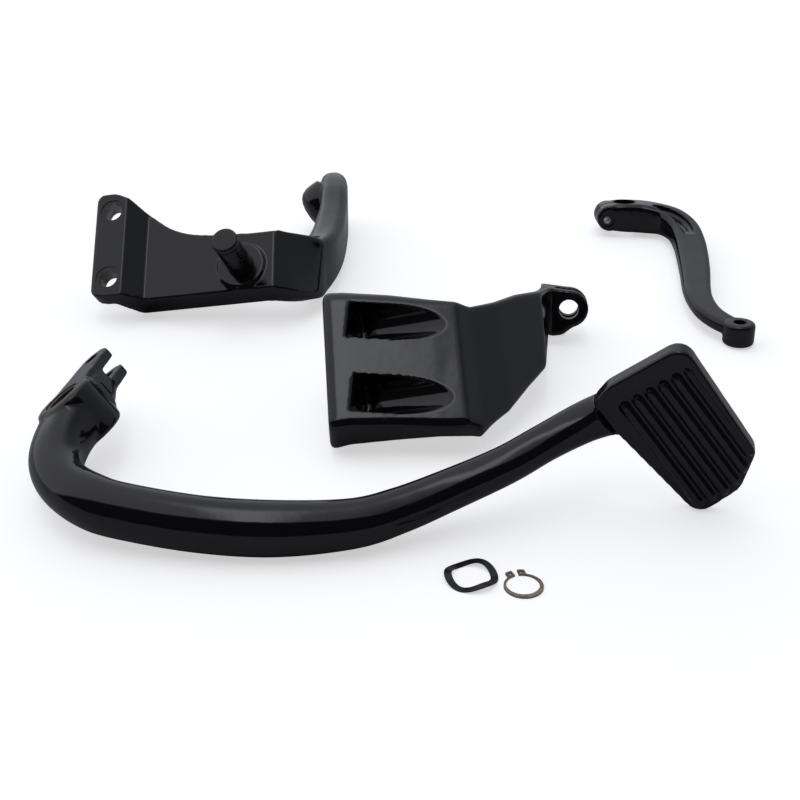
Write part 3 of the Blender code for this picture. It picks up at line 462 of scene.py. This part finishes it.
def bare_metal(name, shift, colour, roughness, grain):
    """Bare machined metal: fine tool marks, small stains and a roughness that follows both."""
    metal = bpy.data.materials.new(name)
    metal.use_nodes = True
    tree = metal.node_tree
    shader = tree.nodes["Principled BSDF"]
    coords = node_of(tree, "ShaderNodeTexCoord").outputs["Object"]
    place = node_of(tree, "ShaderNodeMapping", {"Vector": coords, "Location": shift}).outputs["Vector"]
    marks = noise_of(tree, place, grain, 4.0, 0.6)
    stain = band_of(tree, noise_of(tree, place, 420.0, 5.0, 0.65), 0.42, 0.68)
    stained = tuple(0.45 * c for c in colour)
    tint = blend_of(tree, math_of(tree, "MULTIPLY", stain, 0.7), colour, stained)
    rough = math_of(tree, "MULTIPLY_ADD", marks, 0.2, roughness - 0.1)
    tree.links.new(tint, shader.inputs["Base Color"])
    tree.links.new(math_of(tree, "MULTIPLY_ADD", stain, 0.22, rough), shader.inputs["Roughness"])
    tree.links.new(bump_of(tree, marks, 0.5, 0.00003), shader.inputs["Normal"])
    shader.inputs["Metallic"].default_value = 1.0
    return metal


def close_up(mesh, reach=0.003):
    """Merges points nearer than the reach, and takes out folds: two triangles on the same three points."""
    work = bmesh.new()
    work.from_mesh(mesh)
    bmesh.ops.remove_doubles(work, verts=work.verts, dist=reach)
    bmesh.ops.dissolve_degenerate(work, edges=work.edges, dist=reach)
    bmesh.ops.triangulate(work, faces=work.faces)
    same = {}
    for face in work.faces:
        same.setdefault(frozenset(face.verts), []).append(face)
    folds = [face for group in same.values() if len(group) > 1 for face in group]
    bmesh.ops.delete(work, geom=folds, context="FACES")
    work.to_mesh(mesh)
    work.free()


def finish(piece, materials, place, node, bare=(), crease=38):
    """Closes the piece's mesh, lays it on the bench, shades it smooth up to the crease angle, gives it its
    materials, hides the part it stands for and hangs it on the root body. A face whose middle lies inside one
    of the bare cylinders, given by a point, an axis, a radius and the ends along the axis, takes the second
    material."""
    mesh = piece.data
    close_up(mesh)
    count = len(mesh.polygons)
    middles = np.empty(count * 3)
    mesh.polygons.foreach_get("center", middles)
    middles = middles.reshape(-1, 3)
    which = np.zeros(count, int)
    for point, axis, radius, low, high in bare:
        off = middles - np.asarray(point, float)
        run = off @ unit(axis)
        away = np.linalg.norm(off - run[:, None] * unit(axis), axis=1)
        which[(away < radius) & (run > low) & (run < high)] = 1
    mesh.materials.clear()
    for material in materials:
        mesh.materials.append(material)
    mesh.polygons.foreach_set("material_index", which)
    lay_down(piece, *place)
    mesh.shade_smooth()
    mesh.set_sharp_from_angle(angle=math.radians(crease))
    mark_wear(piece)
    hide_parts(node)
    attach(piece, "root")


bracket_place = ((0.98, -0.117, 0.159), (-0.197, -0.627, 0.755), (-199.377, 50.868, 17.931))
pad_width, pad_height, step_back = 20.5, 71.0, 10.8
web_end, web_back, second_step = 113.0, -29.3, 13.5
second_end = web_end + second_step + 1.0
grain, bolt_hole, pin_hole, hole_reach = 0.8, 5.8, 5.75, 30.0
plan = outline_of([
    (0, 0, 2.5), (0, -12, 2.5), (12, -12, 4), (24, web_back, 5), (web_end - 8, web_back, 5),
    (web_end + 1, web_back - 2, 2), (web_end + 5.5, web_back - 3, 2), (web_end + 5.5, -step_back - 5.1, 0),
    (web_end, -step_back, 5), (pad_width + step_back - 0.8, -step_back, 4), (pad_width, 0, 1.5)])
front = np.vstack([
    outline_of([(-1, 35, 0), (0, 0, 7), (pad_width, 0, 0)])[1:-1], [(web_end, 0), (second_end + 9, -1)],
    [(second_end + 9, 41), (second_end - 4, 40.5), (web_end, 39)],
    spline([(web_end - 15, 39), (78, 40), (60, 42.5), (46, 48), (33, 58), (pad_width + 1, 67)], 10),
    outline_of([(pad_width, 68, 0), (12, pad_height, 6), (0, pad_height, 6), (0, 10, 0)])[1:-1]])
bracket = set_down("brake_bracket_casting", [plate(plan, (0, 0, 0), X, Z, -pad_height - 1, 2)])
cut(bracket, [plate(front, (0, 0, 0), X, Y, -60, 5)], "INTERSECT")
stud_x, stud_y, stud_boss, stud_floor = 92.3, 16.5, 14.5, -step_back + 1.5
arm = [
    (108.9, 20.3, -18.6, 0, 1, 0, 8.5, 20.3, 2.5),
    (115.8, 20.5, -25.0, 0, 1, 0, 8.5, 20.5, 2.5),
    (126.2, 24.8, -37.9, 0.06, 0.97, 0.23, 8.2, 19.6, 3.5),
    (128.5, 31.0, -46.7, 0.11, 0.85, 0.51, 8.8, 18, 5),
    (130.4, 43.6, -60.2, 0.15, 0.71, 0.69, 9.6, 17, 6.5),
    (130.0, 62.0, -77.5, 0.16, 0.64, 0.75, 10, 17.3, 7.5),
    (128.1, 85.3, -96.3, 0.16, 0.64, 0.75, 9.6, 18, 7.5),
    (125.0, 107.7, -112.9, 0.16, 0.64, 0.75, 9.3, 19.2, 7.5),
    (120.8, 126.4, -127.5, 0.16, 0.64, 0.75, 9, 18.3, 7.4),
    (116.6, 135.0, -135.2, 0.16, 0.64, 0.75, 5, 13.5, 4.4)]
peg, peg_axis = np.array((web_end + 2.2, 117.5, -120.2)), unit((-0.848, -0.530, 0.0))
lobe_r, slot_half, slot_deep, slot_lip = 16.5, 4, 70, 1
lobe = [(lobe_r, -6), (lobe_r - 0.1, 0), (lobe_r - 0.6, 4), (lobe_r - 1.9, 7.5), (lobe_r - 4.1, 10),
        (lobe_r - 7.5, 11.8), (lobe_r - 11.5, 12.6)]
add_solids(bracket, [
    bar(arm), round_bar(lobe, peg, peg_axis),
    rod(stud_boss, (stud_x, stud_y, -20), (stud_x, stud_y, stud_floor))])
cast(bracket, grain, 0)
slot = [(-slot_half, -slot_deep), (slot_half, -slot_deep), (slot_half, slot_lip), (-slot_half, slot_lip)]
cut(bracket, [plate(slot, peg, peg_axis, Z, -45, 45)])
cast(bracket, grain, 7)
spot_face, spot_deep, stud_bore, bore_floor, above_it = 7.8, 0.5, 8.25, -22.8, 10
first_hole, hole_pitch, bare_r, bare_from, bare_to = (11.3, 12.0), 46.0, 5.95, -40, -0.7
holes = [(first_hole[0], first_hole[1] + hole_pitch * n) for n in range(2)]
cut(bracket, [rod(bolt_hole, (x, y, -60), (x, y, above_it)) for x, y in holes]
    + [rod(spot_face, (x, y, -spot_deep), (x, y, above_it)) for x, y in holes]
    + [rod(pin_hole, peg - peg_axis * hole_reach, peg + peg_axis * hole_reach),
       rod(stud_bore, (stud_x, stud_y, bore_floor), (stud_x, stud_y, above_it))])
coat = gloss_coat("bracket_black_coat", (0.13, 0.42, 0.05))
hole_metal = bare_metal("bracket_hole_metal", (0.3, 0.1, 0.2), (0.42, 0.38, 0.36), 0.32, 1900.0)
finish(bracket, [coat, hole_metal], bracket_place, "brake_side_bracket",
       [((x, y, 0), Z, bare_r, bare_from, bare_to) for x, y in holes])

# Pivot stud: turned steel with a black finish, pressed into the bracket's plate. The pedal swings on it, and
# the groove near its tip takes the retaining ring.
stud_r, tip, seat, gap = 7.95, 31.8, 13.5, 0.3
groove = stud_r - 0.4
turned = [
    (0.01, -seat), (stud_r - 0.8, -seat), (stud_r, 0.8 - seat), (stud_r, tip - 4.2),
    (groove + 0.1, tip - 4.15), (groove, tip - 4.05), (groove, tip - 3.15), (groove + 0.1, tip - 3.05),
    (stud_r, tip - 3), (stud_r, tip - 1.3), (stud_r - 0.12, tip - 0.8), (stud_r - 0.45, tip - 0.35),
    (stud_r - 0.9, tip - 0.1), (stud_r - 1.5, tip), (0.01, tip)]
stud = set_down("pivot_stud_turning", [round_bar(turned, (stud_x, stud_y, stud_floor + gap), Z, 160)])
stud_coat = gloss_coat("stud_black_steel", (0.7, 0.2, 0.35), 0.3, 0.13)
finish(stud, [stud_coat], bracket_place, "pedal_pivot_stud")

# Shift-side bracket: a heavier steel casting under the same coat. Two slanted pockets, bored into its face,
# take the bolts to the frame, and a shoulder falls away from the face to the fork that holds the other
# footpeg.
block_place = ((0.9976, 0.0592, 0.037), (0, -0.53, 0.848), (-46.377, -115.682, 21.201))
block_length, block_height, block_depth, crown, out = 70.5, 77.0, 27.0, 4.2, 47.4
half_fork = 10.5


def ellipse_arc(centre, radii, start, end, steps):
    """Points on an ellipse from one angle in degrees to another."""
    angle = np.radians(np.linspace(start, end, steps))
    return np.column_stack([centre[0] + radii[0] * np.cos(angle), centre[1] + radii[1] * np.sin(angle)])


def four_corners(corners, radii, steps=12):
    """A ring through four corners in space, each turned by a curve (1-t)^2 a + 2t(1-t) b + t^2 c whose ends
    a and c lie its own size along the sides from the corner b."""
    corners, radii = np.asarray(corners, float), np.asarray(radii, float)[:, None]
    first = corners + unit(np.roll(corners, 1, 0) - corners) * radii
    last = corners + unit(np.roll(corners, -1, 0) - corners) * radii
    t = np.linspace(0, 1, steps)[None, :, None]
    curves = (1 - t) ** 2 * first[:, None] + 2 * t * (1 - t) * corners[:, None] + t ** 2 * last[:, None]
    return curves.reshape(-1, 3)


def block_ring(share, low, high, inset, radii):
    """A section of the block at a share of its length: its face at nought, its back at the block's depth,
    and a lower side that is deep at the frame and shallow at the shoulder."""
    x = share * block_length
    foot = float(np.interp(share, (0, 0.45, 0.8), (25.5, 21.5, 15.0)))
    high, heel = high + crown, low - 2.5 * (1 - share)
    return four_corners([(x, low, -inset), (x, high, -inset), (x, high, inset - block_depth),
                         (x, heel, inset - foot)], radii)


top, end = block_height, block_length
block_rings = [
    block_ring(0.0, 3.0, top + 1.5, 3.0, (4, 10, 4, 6)),
    block_ring(0.012, 1.5, top + 3.6, 1.1, (5, 11, 4, 7)),
    block_ring(0.04, 0.7, top + 5.0, 0.1, (6, 12, 5, 8)),
    block_ring(0.15, 1.4, top + 5.2, 0, (6, 13, 5, 9)),
    block_ring(0.5, -0.2, top + 1.5, 0, (7, 12, 5, 9)),
    block_ring(0.8, -3.0, top - 4.0, 0, (8, 9, 5, 8))]
shoulder = [
    [(end, -4.2, 0), (end, top - 3.7, -0.3), (end, top - 3.5, -27), (end, -4.2, -15)],
    [(end + 7.7, -4.4, -6.6), (end + 7.6, top - 3.6, -6.2), (end + 4, top - 3, -28), (end + 6, -3, -17)],
    [(end + out / 2 + 1, 11.5, -17.5), (end + out / 2 - 1, top + 5.0, -15.9), (end + 15, top + 7, -36),
     (end + 16, 22, -33)],
    [(end + out - 9.3, 31.2, -27.0), (end + out - 10.4, top + 15.6, -26.2), (end + 27, top + 20, -48),
     (end + 27, 47, -50)],
    [(end + out + 1, 46.3, -34.4), (end + out + 4.2, top + 23.3, -36.5), (end + 42, top + 34, -62),
     (end + 38, 70, -68)],
    [(end + 61.1, 103.5, -83.0), (end + 62.8, 121.5, -67.0), (end + 62.1, 132, -80), (end + 61.6, 115, -96)]]
rounding = [(9, 5, 5, 8), (8, 5, 6, 8), (8, 6, 8, 9), (8, 6, 8, 9), (6, 6, 8, 6), (3, 3, 3, 3)]
rows = np.array([np.concatenate([np.ravel(c), r]) for c, r in zip(shoulder, rounding)])
between = np.linspace(0, 1, 10, endpoint=False)[None, :, None]
runs = (rows[:-1, None] + (rows[1:] - rows[:-1])[:, None] * between).reshape(-1, 16)
block_rings += [four_corners(row[:12].reshape(4, 3), row[12:]) for row in np.vstack([runs, rows[-1:]])]
fork_axis = unit((-0.146, -0.656, 0.741))
fork_right, fork_up = (0.992, -0.154, 0.053), (0.052, 0.744, 0.666)
fork_centre = np.array((end + 72.6, 109.4, -73.4)) - fork_axis * half_fork
fork_nose = 11.5
fork_side = np.vstack([
    ellipse_arc((0, 0), (fork_nose, fork_nose - 0.5), 95, -75, 48),
    [(-3, -15.5), (-9, -16.5), (-fork_nose - 5.5, -14), (-fork_nose - 5.5, 12.5)]])
block = set_down("shift_bracket_casting", [
    shell(block_rings), plate(fork_side, fork_centre, fork_right, fork_up, -half_fork, half_fork)])
cast(block, grain, 0)
slope, swing, pocket_r, pocket_deep = math.radians(22.5), math.radians(-8.0), 11, 52.0
first_pocket, pocket_pitch = (12.2, 20.6), 44.0
trough = np.array((math.cos(slope) * math.cos(swing), math.cos(slope) * math.sin(swing), math.sin(slope)))
sideways = unit(np.cross(Z, trough))
rise = np.cross(trough, sideways)
run = pocket_deep - pocket_r / math.sin(slope)
channel = np.vstack([
    ellipse_arc((0, 0), (pocket_r, pocket_r), 180, 360, 64), [(pocket_r, 60), (-pocket_r, 60)]])
pockets, pocket_walls = [], []
for number in range(2):
    low = first_pocket[1] + pocket_pitch * number
    mouth = np.array((first_pocket[0] + run, low + run * math.tan(swing), 0))
    wall = mouth - trough * run * math.cos(slope)
    pocket_walls.append(wall)
    pocket = channel[:, :1] * sideways + channel[:, 1:] * rise
    pockets.append(shell([wall + trough * far + pocket for far in (0, 90)]))
fork_gap = [(-8, -slot_half), (60, -slot_half), (60, slot_half), (-8, slot_half)]
cast(block, grain, 6)
cut(block, pockets + [plate(fork_gap, fork_centre, fork_right, fork_axis, -40, 40)])
cast(block, grain, 2)
cut(block, [rod(bolt_hole, wall - trough * 60, wall + trough * 5) for wall in pocket_walls]
    + [rod(pin_hole, fork_centre - fork_axis * hole_reach, fork_centre + fork_axis * hole_reach)])
block_coat = gloss_coat("block_black_coat", (0.55, 0.12, 0.3))
finish(block, [block_coat], block_place, "shift_side_bracket")

# Brake pedal: one steel casting under the same coat. Its bored boss swings on the stud, the small fork beside
# the boss takes the brake rod, and the arm sweeps round to a sunk pad with six ridges.
pedal_place = ((0.6091, -0.0904, -0.7879), (-0.1907, -0.981, -0.0349), (-179.577, -110.532, 36.415))
down, boss_half, arm_r = (0.788, -0.615, 0.035), 13.5, 13.2
pedal_path = [
    (boss_half, -1, -14, 1, 0, 0, 14.5, boss_half - 1, 9),
    (boss_half, -1, 2, 1, 0, 0, 15.5, boss_half, 10),
    (15.3, -2, 22, 0.97, -0.1, 0, 14, 12.8, 11),
    (19, 0.5, 39, 0.90, -0.4, 0.03, 13, 12.5, 12),
    (25.7, 8.4, 53, 0.84, -0.52, 0.04, 12.5, 12.3, 12),
    (35.9, 20.4, 62.5, *down, arm_r, arm_r, arm_r),
    (47.1, 32.4, 65.8, *down, arm_r, arm_r, arm_r),
    (71.6, 59.7, 66, *down, arm_r, arm_r, arm_r),
    (94.2, 86.1, 61, *down, arm_r, arm_r - 0.2, arm_r),
    (114.9, 112.7, 50.9, *down, 11.8, 11.6, 11.6),
    (125.6, 129.9, 39.3, *down, 11, 10.6, 10.6),
    (134.5, 148.6, 26, *down, 10.2, 9.8, 9.8),
    (143.1, 172.7, 12.5, *down, 9.6, 9, 9),
    (148.7, 190.5, -0.8, *down, 9.4, 8.8, 8.8),
    (154, 208, -11.5, *down, 9.4, 9.4, 8),
    (158, 222, -15.5, *down, 9, 10, 6)]
boss_r, pivot_length, fork_r, fork_width, rod_arm = 16.5, 27.0, 9.5, 18.0, 40.0
boss_edge = [
    (boss_r - 2.5, 0), (boss_r - 0.7, 0.7), (boss_r, 2.5), (boss_r, pivot_length - 2.5),
    (boss_r - 0.7, pivot_length - 0.7), (boss_r - 2.5, pivot_length)]
neck_path = [
    (9, 0, 4 - rod_arm, 1, 0, 0, fork_r, 9, 4),
    (9.4, 0, 12 - rod_arm, 1, 0, 0, fork_r + 1, 9.4, 6),
    (boss_half - 1.8, 0, -14, 1, 0, 0, 13, boss_half - 1.8, 8),
    (boss_half, -1, 4, 1, 0, 0, 15.5, boss_half, 10)]
rod_fork = np.vstack([
    ellipse_arc((0, -rod_arm), (fork_r, fork_r), 180, 360, 48), [(fork_r + 2, 0), (-fork_r - 2, 0)]])
pad_top, pad_left, pad_end, pad_right, pad_face, pad_thick = 142.5, 219.0, 222.5, 270.0, -7.0, 10
pad_outline = outline_of([
    (pad_top + 3, pad_left + 1, 3), (pad_top, pad_left + 10, 10), (pad_top, pad_right, 8),
    (pad_end - 14, pad_right - 2.5, 9), (pad_end, pad_right - 20, 13), (pad_end + 3, pad_left + 6, 8),
    (pad_top + 26, pad_left - 1, 8), (pad_top + 12, pad_left - 4, 8)])
pedal = set_down("brake_pedal_casting", [
    bar(pedal_path), round_bar(boss_edge, (0, 0, 0), X), bar(neck_path),
    plate(rod_fork, (0, 0, 0), Y, Z, 0, fork_width),
    plate(pad_outline, (0, 0, 0), X, Y, pad_face - pad_thick, pad_face)])
cast(pedal, grain, 5)
gap_floor, gap_from, gap_width = fork_r + 4 - rod_arm, 5.75, 6.5
rod_gap = [(-20, -80), (20, -80), (20, gap_floor), (-20, gap_floor)]
rim, low_rim, tread = 7.5, 4, pad_face - 3.3
recess = outline_of([
    (pad_top + rim, pad_left - 1.5, 0), (pad_top + rim, pad_right - low_rim, 5),
    (pad_end + 20, pad_right - low_rim, 0), (pad_end + 20, pad_left - 1.5, 0)])
ridge, ridge_from, first_ridge, pitch, sunk = 2.45, 14, 10.2, 7.0, 0.3
ridge_end = [
    (0.2, -ridge), (0.38 * ridge, -0.92 * ridge), (0.71 * ridge, -0.71 * ridge),
    (0.92 * ridge, -0.38 * ridge), (ridge, 0)]
ridges = []
for number, short in enumerate((3.5, 3.5, 3.5, 5.5, 9.5, 16.0)):
    reach = pad_end - short - pad_top - ridge_from
    start = (pad_top + ridge_from, pad_left + first_ridge + number * pitch, tread - sunk)
    ridges.append(round_bar(ridge_end + [(q, reach - h) for q, h in ridge_end[::-1]], start, X, 48))
cut(pedal, [plate(rod_gap, (0, 0, 0), Y, Z, gap_from, gap_from + gap_width),
            plate(recess, (0, 0, 0), X, Y, tread, pad_face + 20)])
add_solids(pedal, ridges)
pad_grain, pivot_bore, rod_pin, grease_hole = 0.78, 9.9, 4, 2.2
cast(pedal, pad_grain, 3)
grease = np.array((7.0, -6.0, 12.0))
cut(pedal, [rod(pivot_bore, (-10, 0, 0), (47, 0, 0)),
            rod(rod_pin, (-20, 0, -rod_arm), (50, 0, -rod_arm)),
            rod(grease_hole, grease, grease + np.array((0, -12, 24)))])
pedal_coat = gloss_coat("pedal_black_coat", (0.21, 0.66, 0.48))
finish(pedal, [pedal_coat], pedal_place, "brake_pedal")

# Plain bearing: a thin bronze sleeve, pressed into the pedal's boss to run on the stud. It is turned from
# tube, and its ends are broken.
inner = stud_r + 0.15
outer, near_end, far_end, broken = inner + 1.5, 0.5, 26.5, 0.3
sleeve = [
    (inner + broken, far_end), (outer - broken, far_end), (outer, far_end - broken),
    (outer, near_end + broken), (outer - broken, near_end), (inner + broken, near_end),
    (inner, near_end + broken), (inner, (near_end + far_end) / 2), (inner, far_end - broken)]
sides = 128
angle = np.linspace(0, 2 * math.pi, sides, endpoint=False)
bush = set_down("pedal_bush_sleeve", [shell(
    [np.column_stack([np.full(sides, x), q * np.cos(angle), q * np.sin(angle)]) for q, x in sleeve],
    closed=True)])
bronze = bare_metal("bearing_bronze_bore", (0.9, 0.4, 0.1), (0.24, 0.18, 0.12), 0.34, 1500.0)
finish(bush, [bronze], pedal_place, "pedal_bushing")

# Shift lever: a slim steel arm, cast or forged, under the same coat. It curves from a clamp, which is bored and
# split to grip the shift shaft when its bolt is tightened, to the boss with the toe peg's hole.
lever_place = ((1, 0, 0), (0, 0, 1), (190.323, 23.268, 0.485))
clamp, clamp_axis, tall = np.array((-43.4, 180.9, 11.6)), unit((0, 0.15, 0.99)), 10.0
lever_path = [
    (-54.0, 180.5, 11.7, 0, 0.15, 1, 10.5, tall - 1.2, 4.0),
    (-50.0, 180.8, 11.7, 0, 0.15, 1, 10.8, tall - 0.4, 4.0),
    (-43.4, 180.9, 11.6, 0, 0.15, 1, 11.2, tall, 4.0),
    (-29.0, 179.5, 11.2, 0, 0.15, 1, 11.0, tall, 4.0),
    (-14.0, 173.0, 10.6, 0, 0.12, 1, 10.6, tall - 1.2, 4.0),
    (-6.5, 157.0, 10.0, 0, 0.08, 1, 10.5, tall - 2.6, 4.0),
    (-5.5, 135.0, 9.4, 0, 0.05, 1, 10.4, tall - 3.8, 3.5),
    (-7.5, 110.0, 8.9, 0, 0.03, 1, 10.2, tall - 4.7, 3.2),
    (-10.5, 85.0, 8.7, 0, 0, 1, 9.6, tall - 5.2, 3.0),
    (-14.2, 60.0, 8.8, 0, 0, 1, 8.8, tall - 5.6, 3.0),
    (-15.4, 42.0, 8.9, 0, 0, 1, 8.0, tall - 5.8, 3.0),
    (-13.7, 24.0, 9.0, 0, 0, 1, 7.6, tall - 6.0, 3.0),
    (-8.0, 10.0, 9.0, 0, 0, 1, 7.2, tall - 6.0, 3.0),
    (0.0, 0.0, 9.0, 0, 0, 1, 7.0, tall - 6.2, 3.0)]
boss_axis = unit((0, 0.06, 1))
toe_boss = [(8.1, 0), (9.3, 1.2), (9.3, 11.9), (8.8, 13.0), (7.7, 13.5)]
pinch_drop = 1.4
pinch = clamp + np.array((-12.6, 0, -pinch_drop))
pinch_axis = unit((0, 1, -0.15))
pinch_boss = [(8, -10.8), (9, -9.8), (9, 9.8), (8, 10.8)]
lever = set_down("shift_lever_forging", [
    bar(lever_path), round_bar(toe_boss, (0, 0, 0), boss_axis),
    round_bar(pinch_boss, pinch + np.array((1.9, 0, pinch_drop)), pinch_axis)])
lever_grain = 0.6
cast(lever, lever_grain, 5)
dish, dish_deep = 4.5, 4.0
dish_path = [
    (-24.0, 176.5, 20.2, 0, 0.14, 1, dish - 2.0, dish_deep - 1, 2.0),
    (-17.0, 173.0, 19.6, 0, 0.12, 1, dish, dish_deep, 2.5),
    (-9.5, 163.5, 18.3, 0, 0.10, 1, dish, dish_deep, 2.5),
    (-6.2, 150.0, 17.2, 0, 0.08, 1, dish, dish_deep - 0.6, 2.5),
    (-5.6, 136.0, 16.6, 0, 0.05, 1, dish - 0.8, dish_deep - 2.2, 1.8)]
cut(lever, [bar(dish_path)])
cast(lever, lever_grain, 2)
toe_hole, shaft_bore, pinch_hole, head_seat, head_from, split_half = 3.85, 7.65, 2.6, 4.8, 9.6, 0.8
clamp_split = [(-40, -split_half), (0, -split_half), (0, split_half), (-40, split_half)]
cut(lever, [rod(toe_hole, boss_axis * -20, boss_axis * 40),
            rod(shaft_bore, clamp - clamp_axis * hole_reach, clamp + clamp_axis * hole_reach),
            plate(clamp_split, clamp, X, (0, 0.99, -0.15), -hole_reach, hole_reach),
            rod(pinch_hole, pinch - pinch_axis * hole_reach, pinch + pinch_axis * hole_reach),
            rod(head_seat, pinch - pinch_axis * hole_reach, pinch - pinch_axis * head_from)])
lever_coat = gloss_coat("lever_black_coat", (0.82, 0.31, 0.12))
finish(lever, [lever_coat], lever_place, "shift_lever")

# Wave washer: thin spring steel, stamped, pressed into three waves and blackened. It takes up the pedal's
# end play on the stud.
washer_in, washer_out, half_thick, broken, wave_high = 8.7, 12.2, 0.3, 0.15, 1.1
angle = np.linspace(0, 2 * math.pi, 240, endpoint=False)
wave = -wave_high * np.cos(3 * angle)
rim_points = [
    (washer_in + broken, -half_thick), (washer_out - broken, -half_thick), (washer_out, -broken),
    (washer_out, broken), (washer_out - broken, half_thick), (washer_in + broken, half_thick),
    (washer_in, broken), (washer_in, -broken)]
washer = set_down("wave_washer_pressing", [shell(np.stack(
    [np.column_stack([q * np.cos(angle), q * np.sin(angle), wave + h]) for q, h in rim_points], 1),
    closed=True)])
phosphate = gloss_coat("washer_black_phosphate", (0.4, 0.9, 0.6), 0.8, 0.3)
washer_place = ((1, 0, 0), (0, 0, 1), (21.123, -213.632, 1.4))
finish(washer, [phosphate], washer_place, "wave_washer")

# Retaining ring: stamped from bare spring steel, widest opposite its gap, with a hole in each lug for the
# pliers that open it. It snaps into the stud's groove and holds the pedal on.
ring_place = ((0.9563, 0.2924, 0), (0, 0, 1), (43.823, -219.732, 0.0))
ring_inner, ring_width, ring_thick = 7.5, 2.18, 1
lug_out, lug_angle, gap_angle, fillet_angle, lug_hole = 3.7, 24.0, 7.0, 8, 0.85


def round_the_ring(angles, away):
    """Points at a distance from the centre, each at its angle in degrees from the gap."""
    turn = np.radians(angles)
    return np.column_stack([away * np.sin(turn), away * np.cos(turn)])


body = np.linspace(lug_angle + fillet_angle, 360 - lug_angle - fillet_angle, 120)
edge = np.vstack([
    round_the_ring(body, ring_inner + ring_width * (0.62 - 0.38 * np.cos(np.radians(body)))),
    round_the_ring(np.linspace(360 - lug_angle, 360 - gap_angle, 8), ring_inner + lug_out),
    round_the_ring(np.linspace(360 - gap_angle, gap_angle, 120), ring_inner),
    round_the_ring(np.linspace(gap_angle, lug_angle, 8), ring_inner + lug_out)])
ring = set_down("retaining_ring_stamping", [plate(edge, (0, 0, 0), X, Y, 0, ring_thick)])
lug_middles = np.array((1, -1)) * (lug_angle + gap_angle) / 2
lug_holes = round_the_ring(lug_middles, ring_inner + lug_out * 0.52)
cut(ring, [rod(lug_hole, (x, y, -1), (x, y, ring_thick + 1), 40) for x, y in lug_holes])
steel = bare_metal("bare_spring_steel", (0.2, 0.6, 0.9), (0.46, 0.37, 0.30), 0.3, 2400.0)
finish(ring, [steel], ring_place, "retaining_ring")
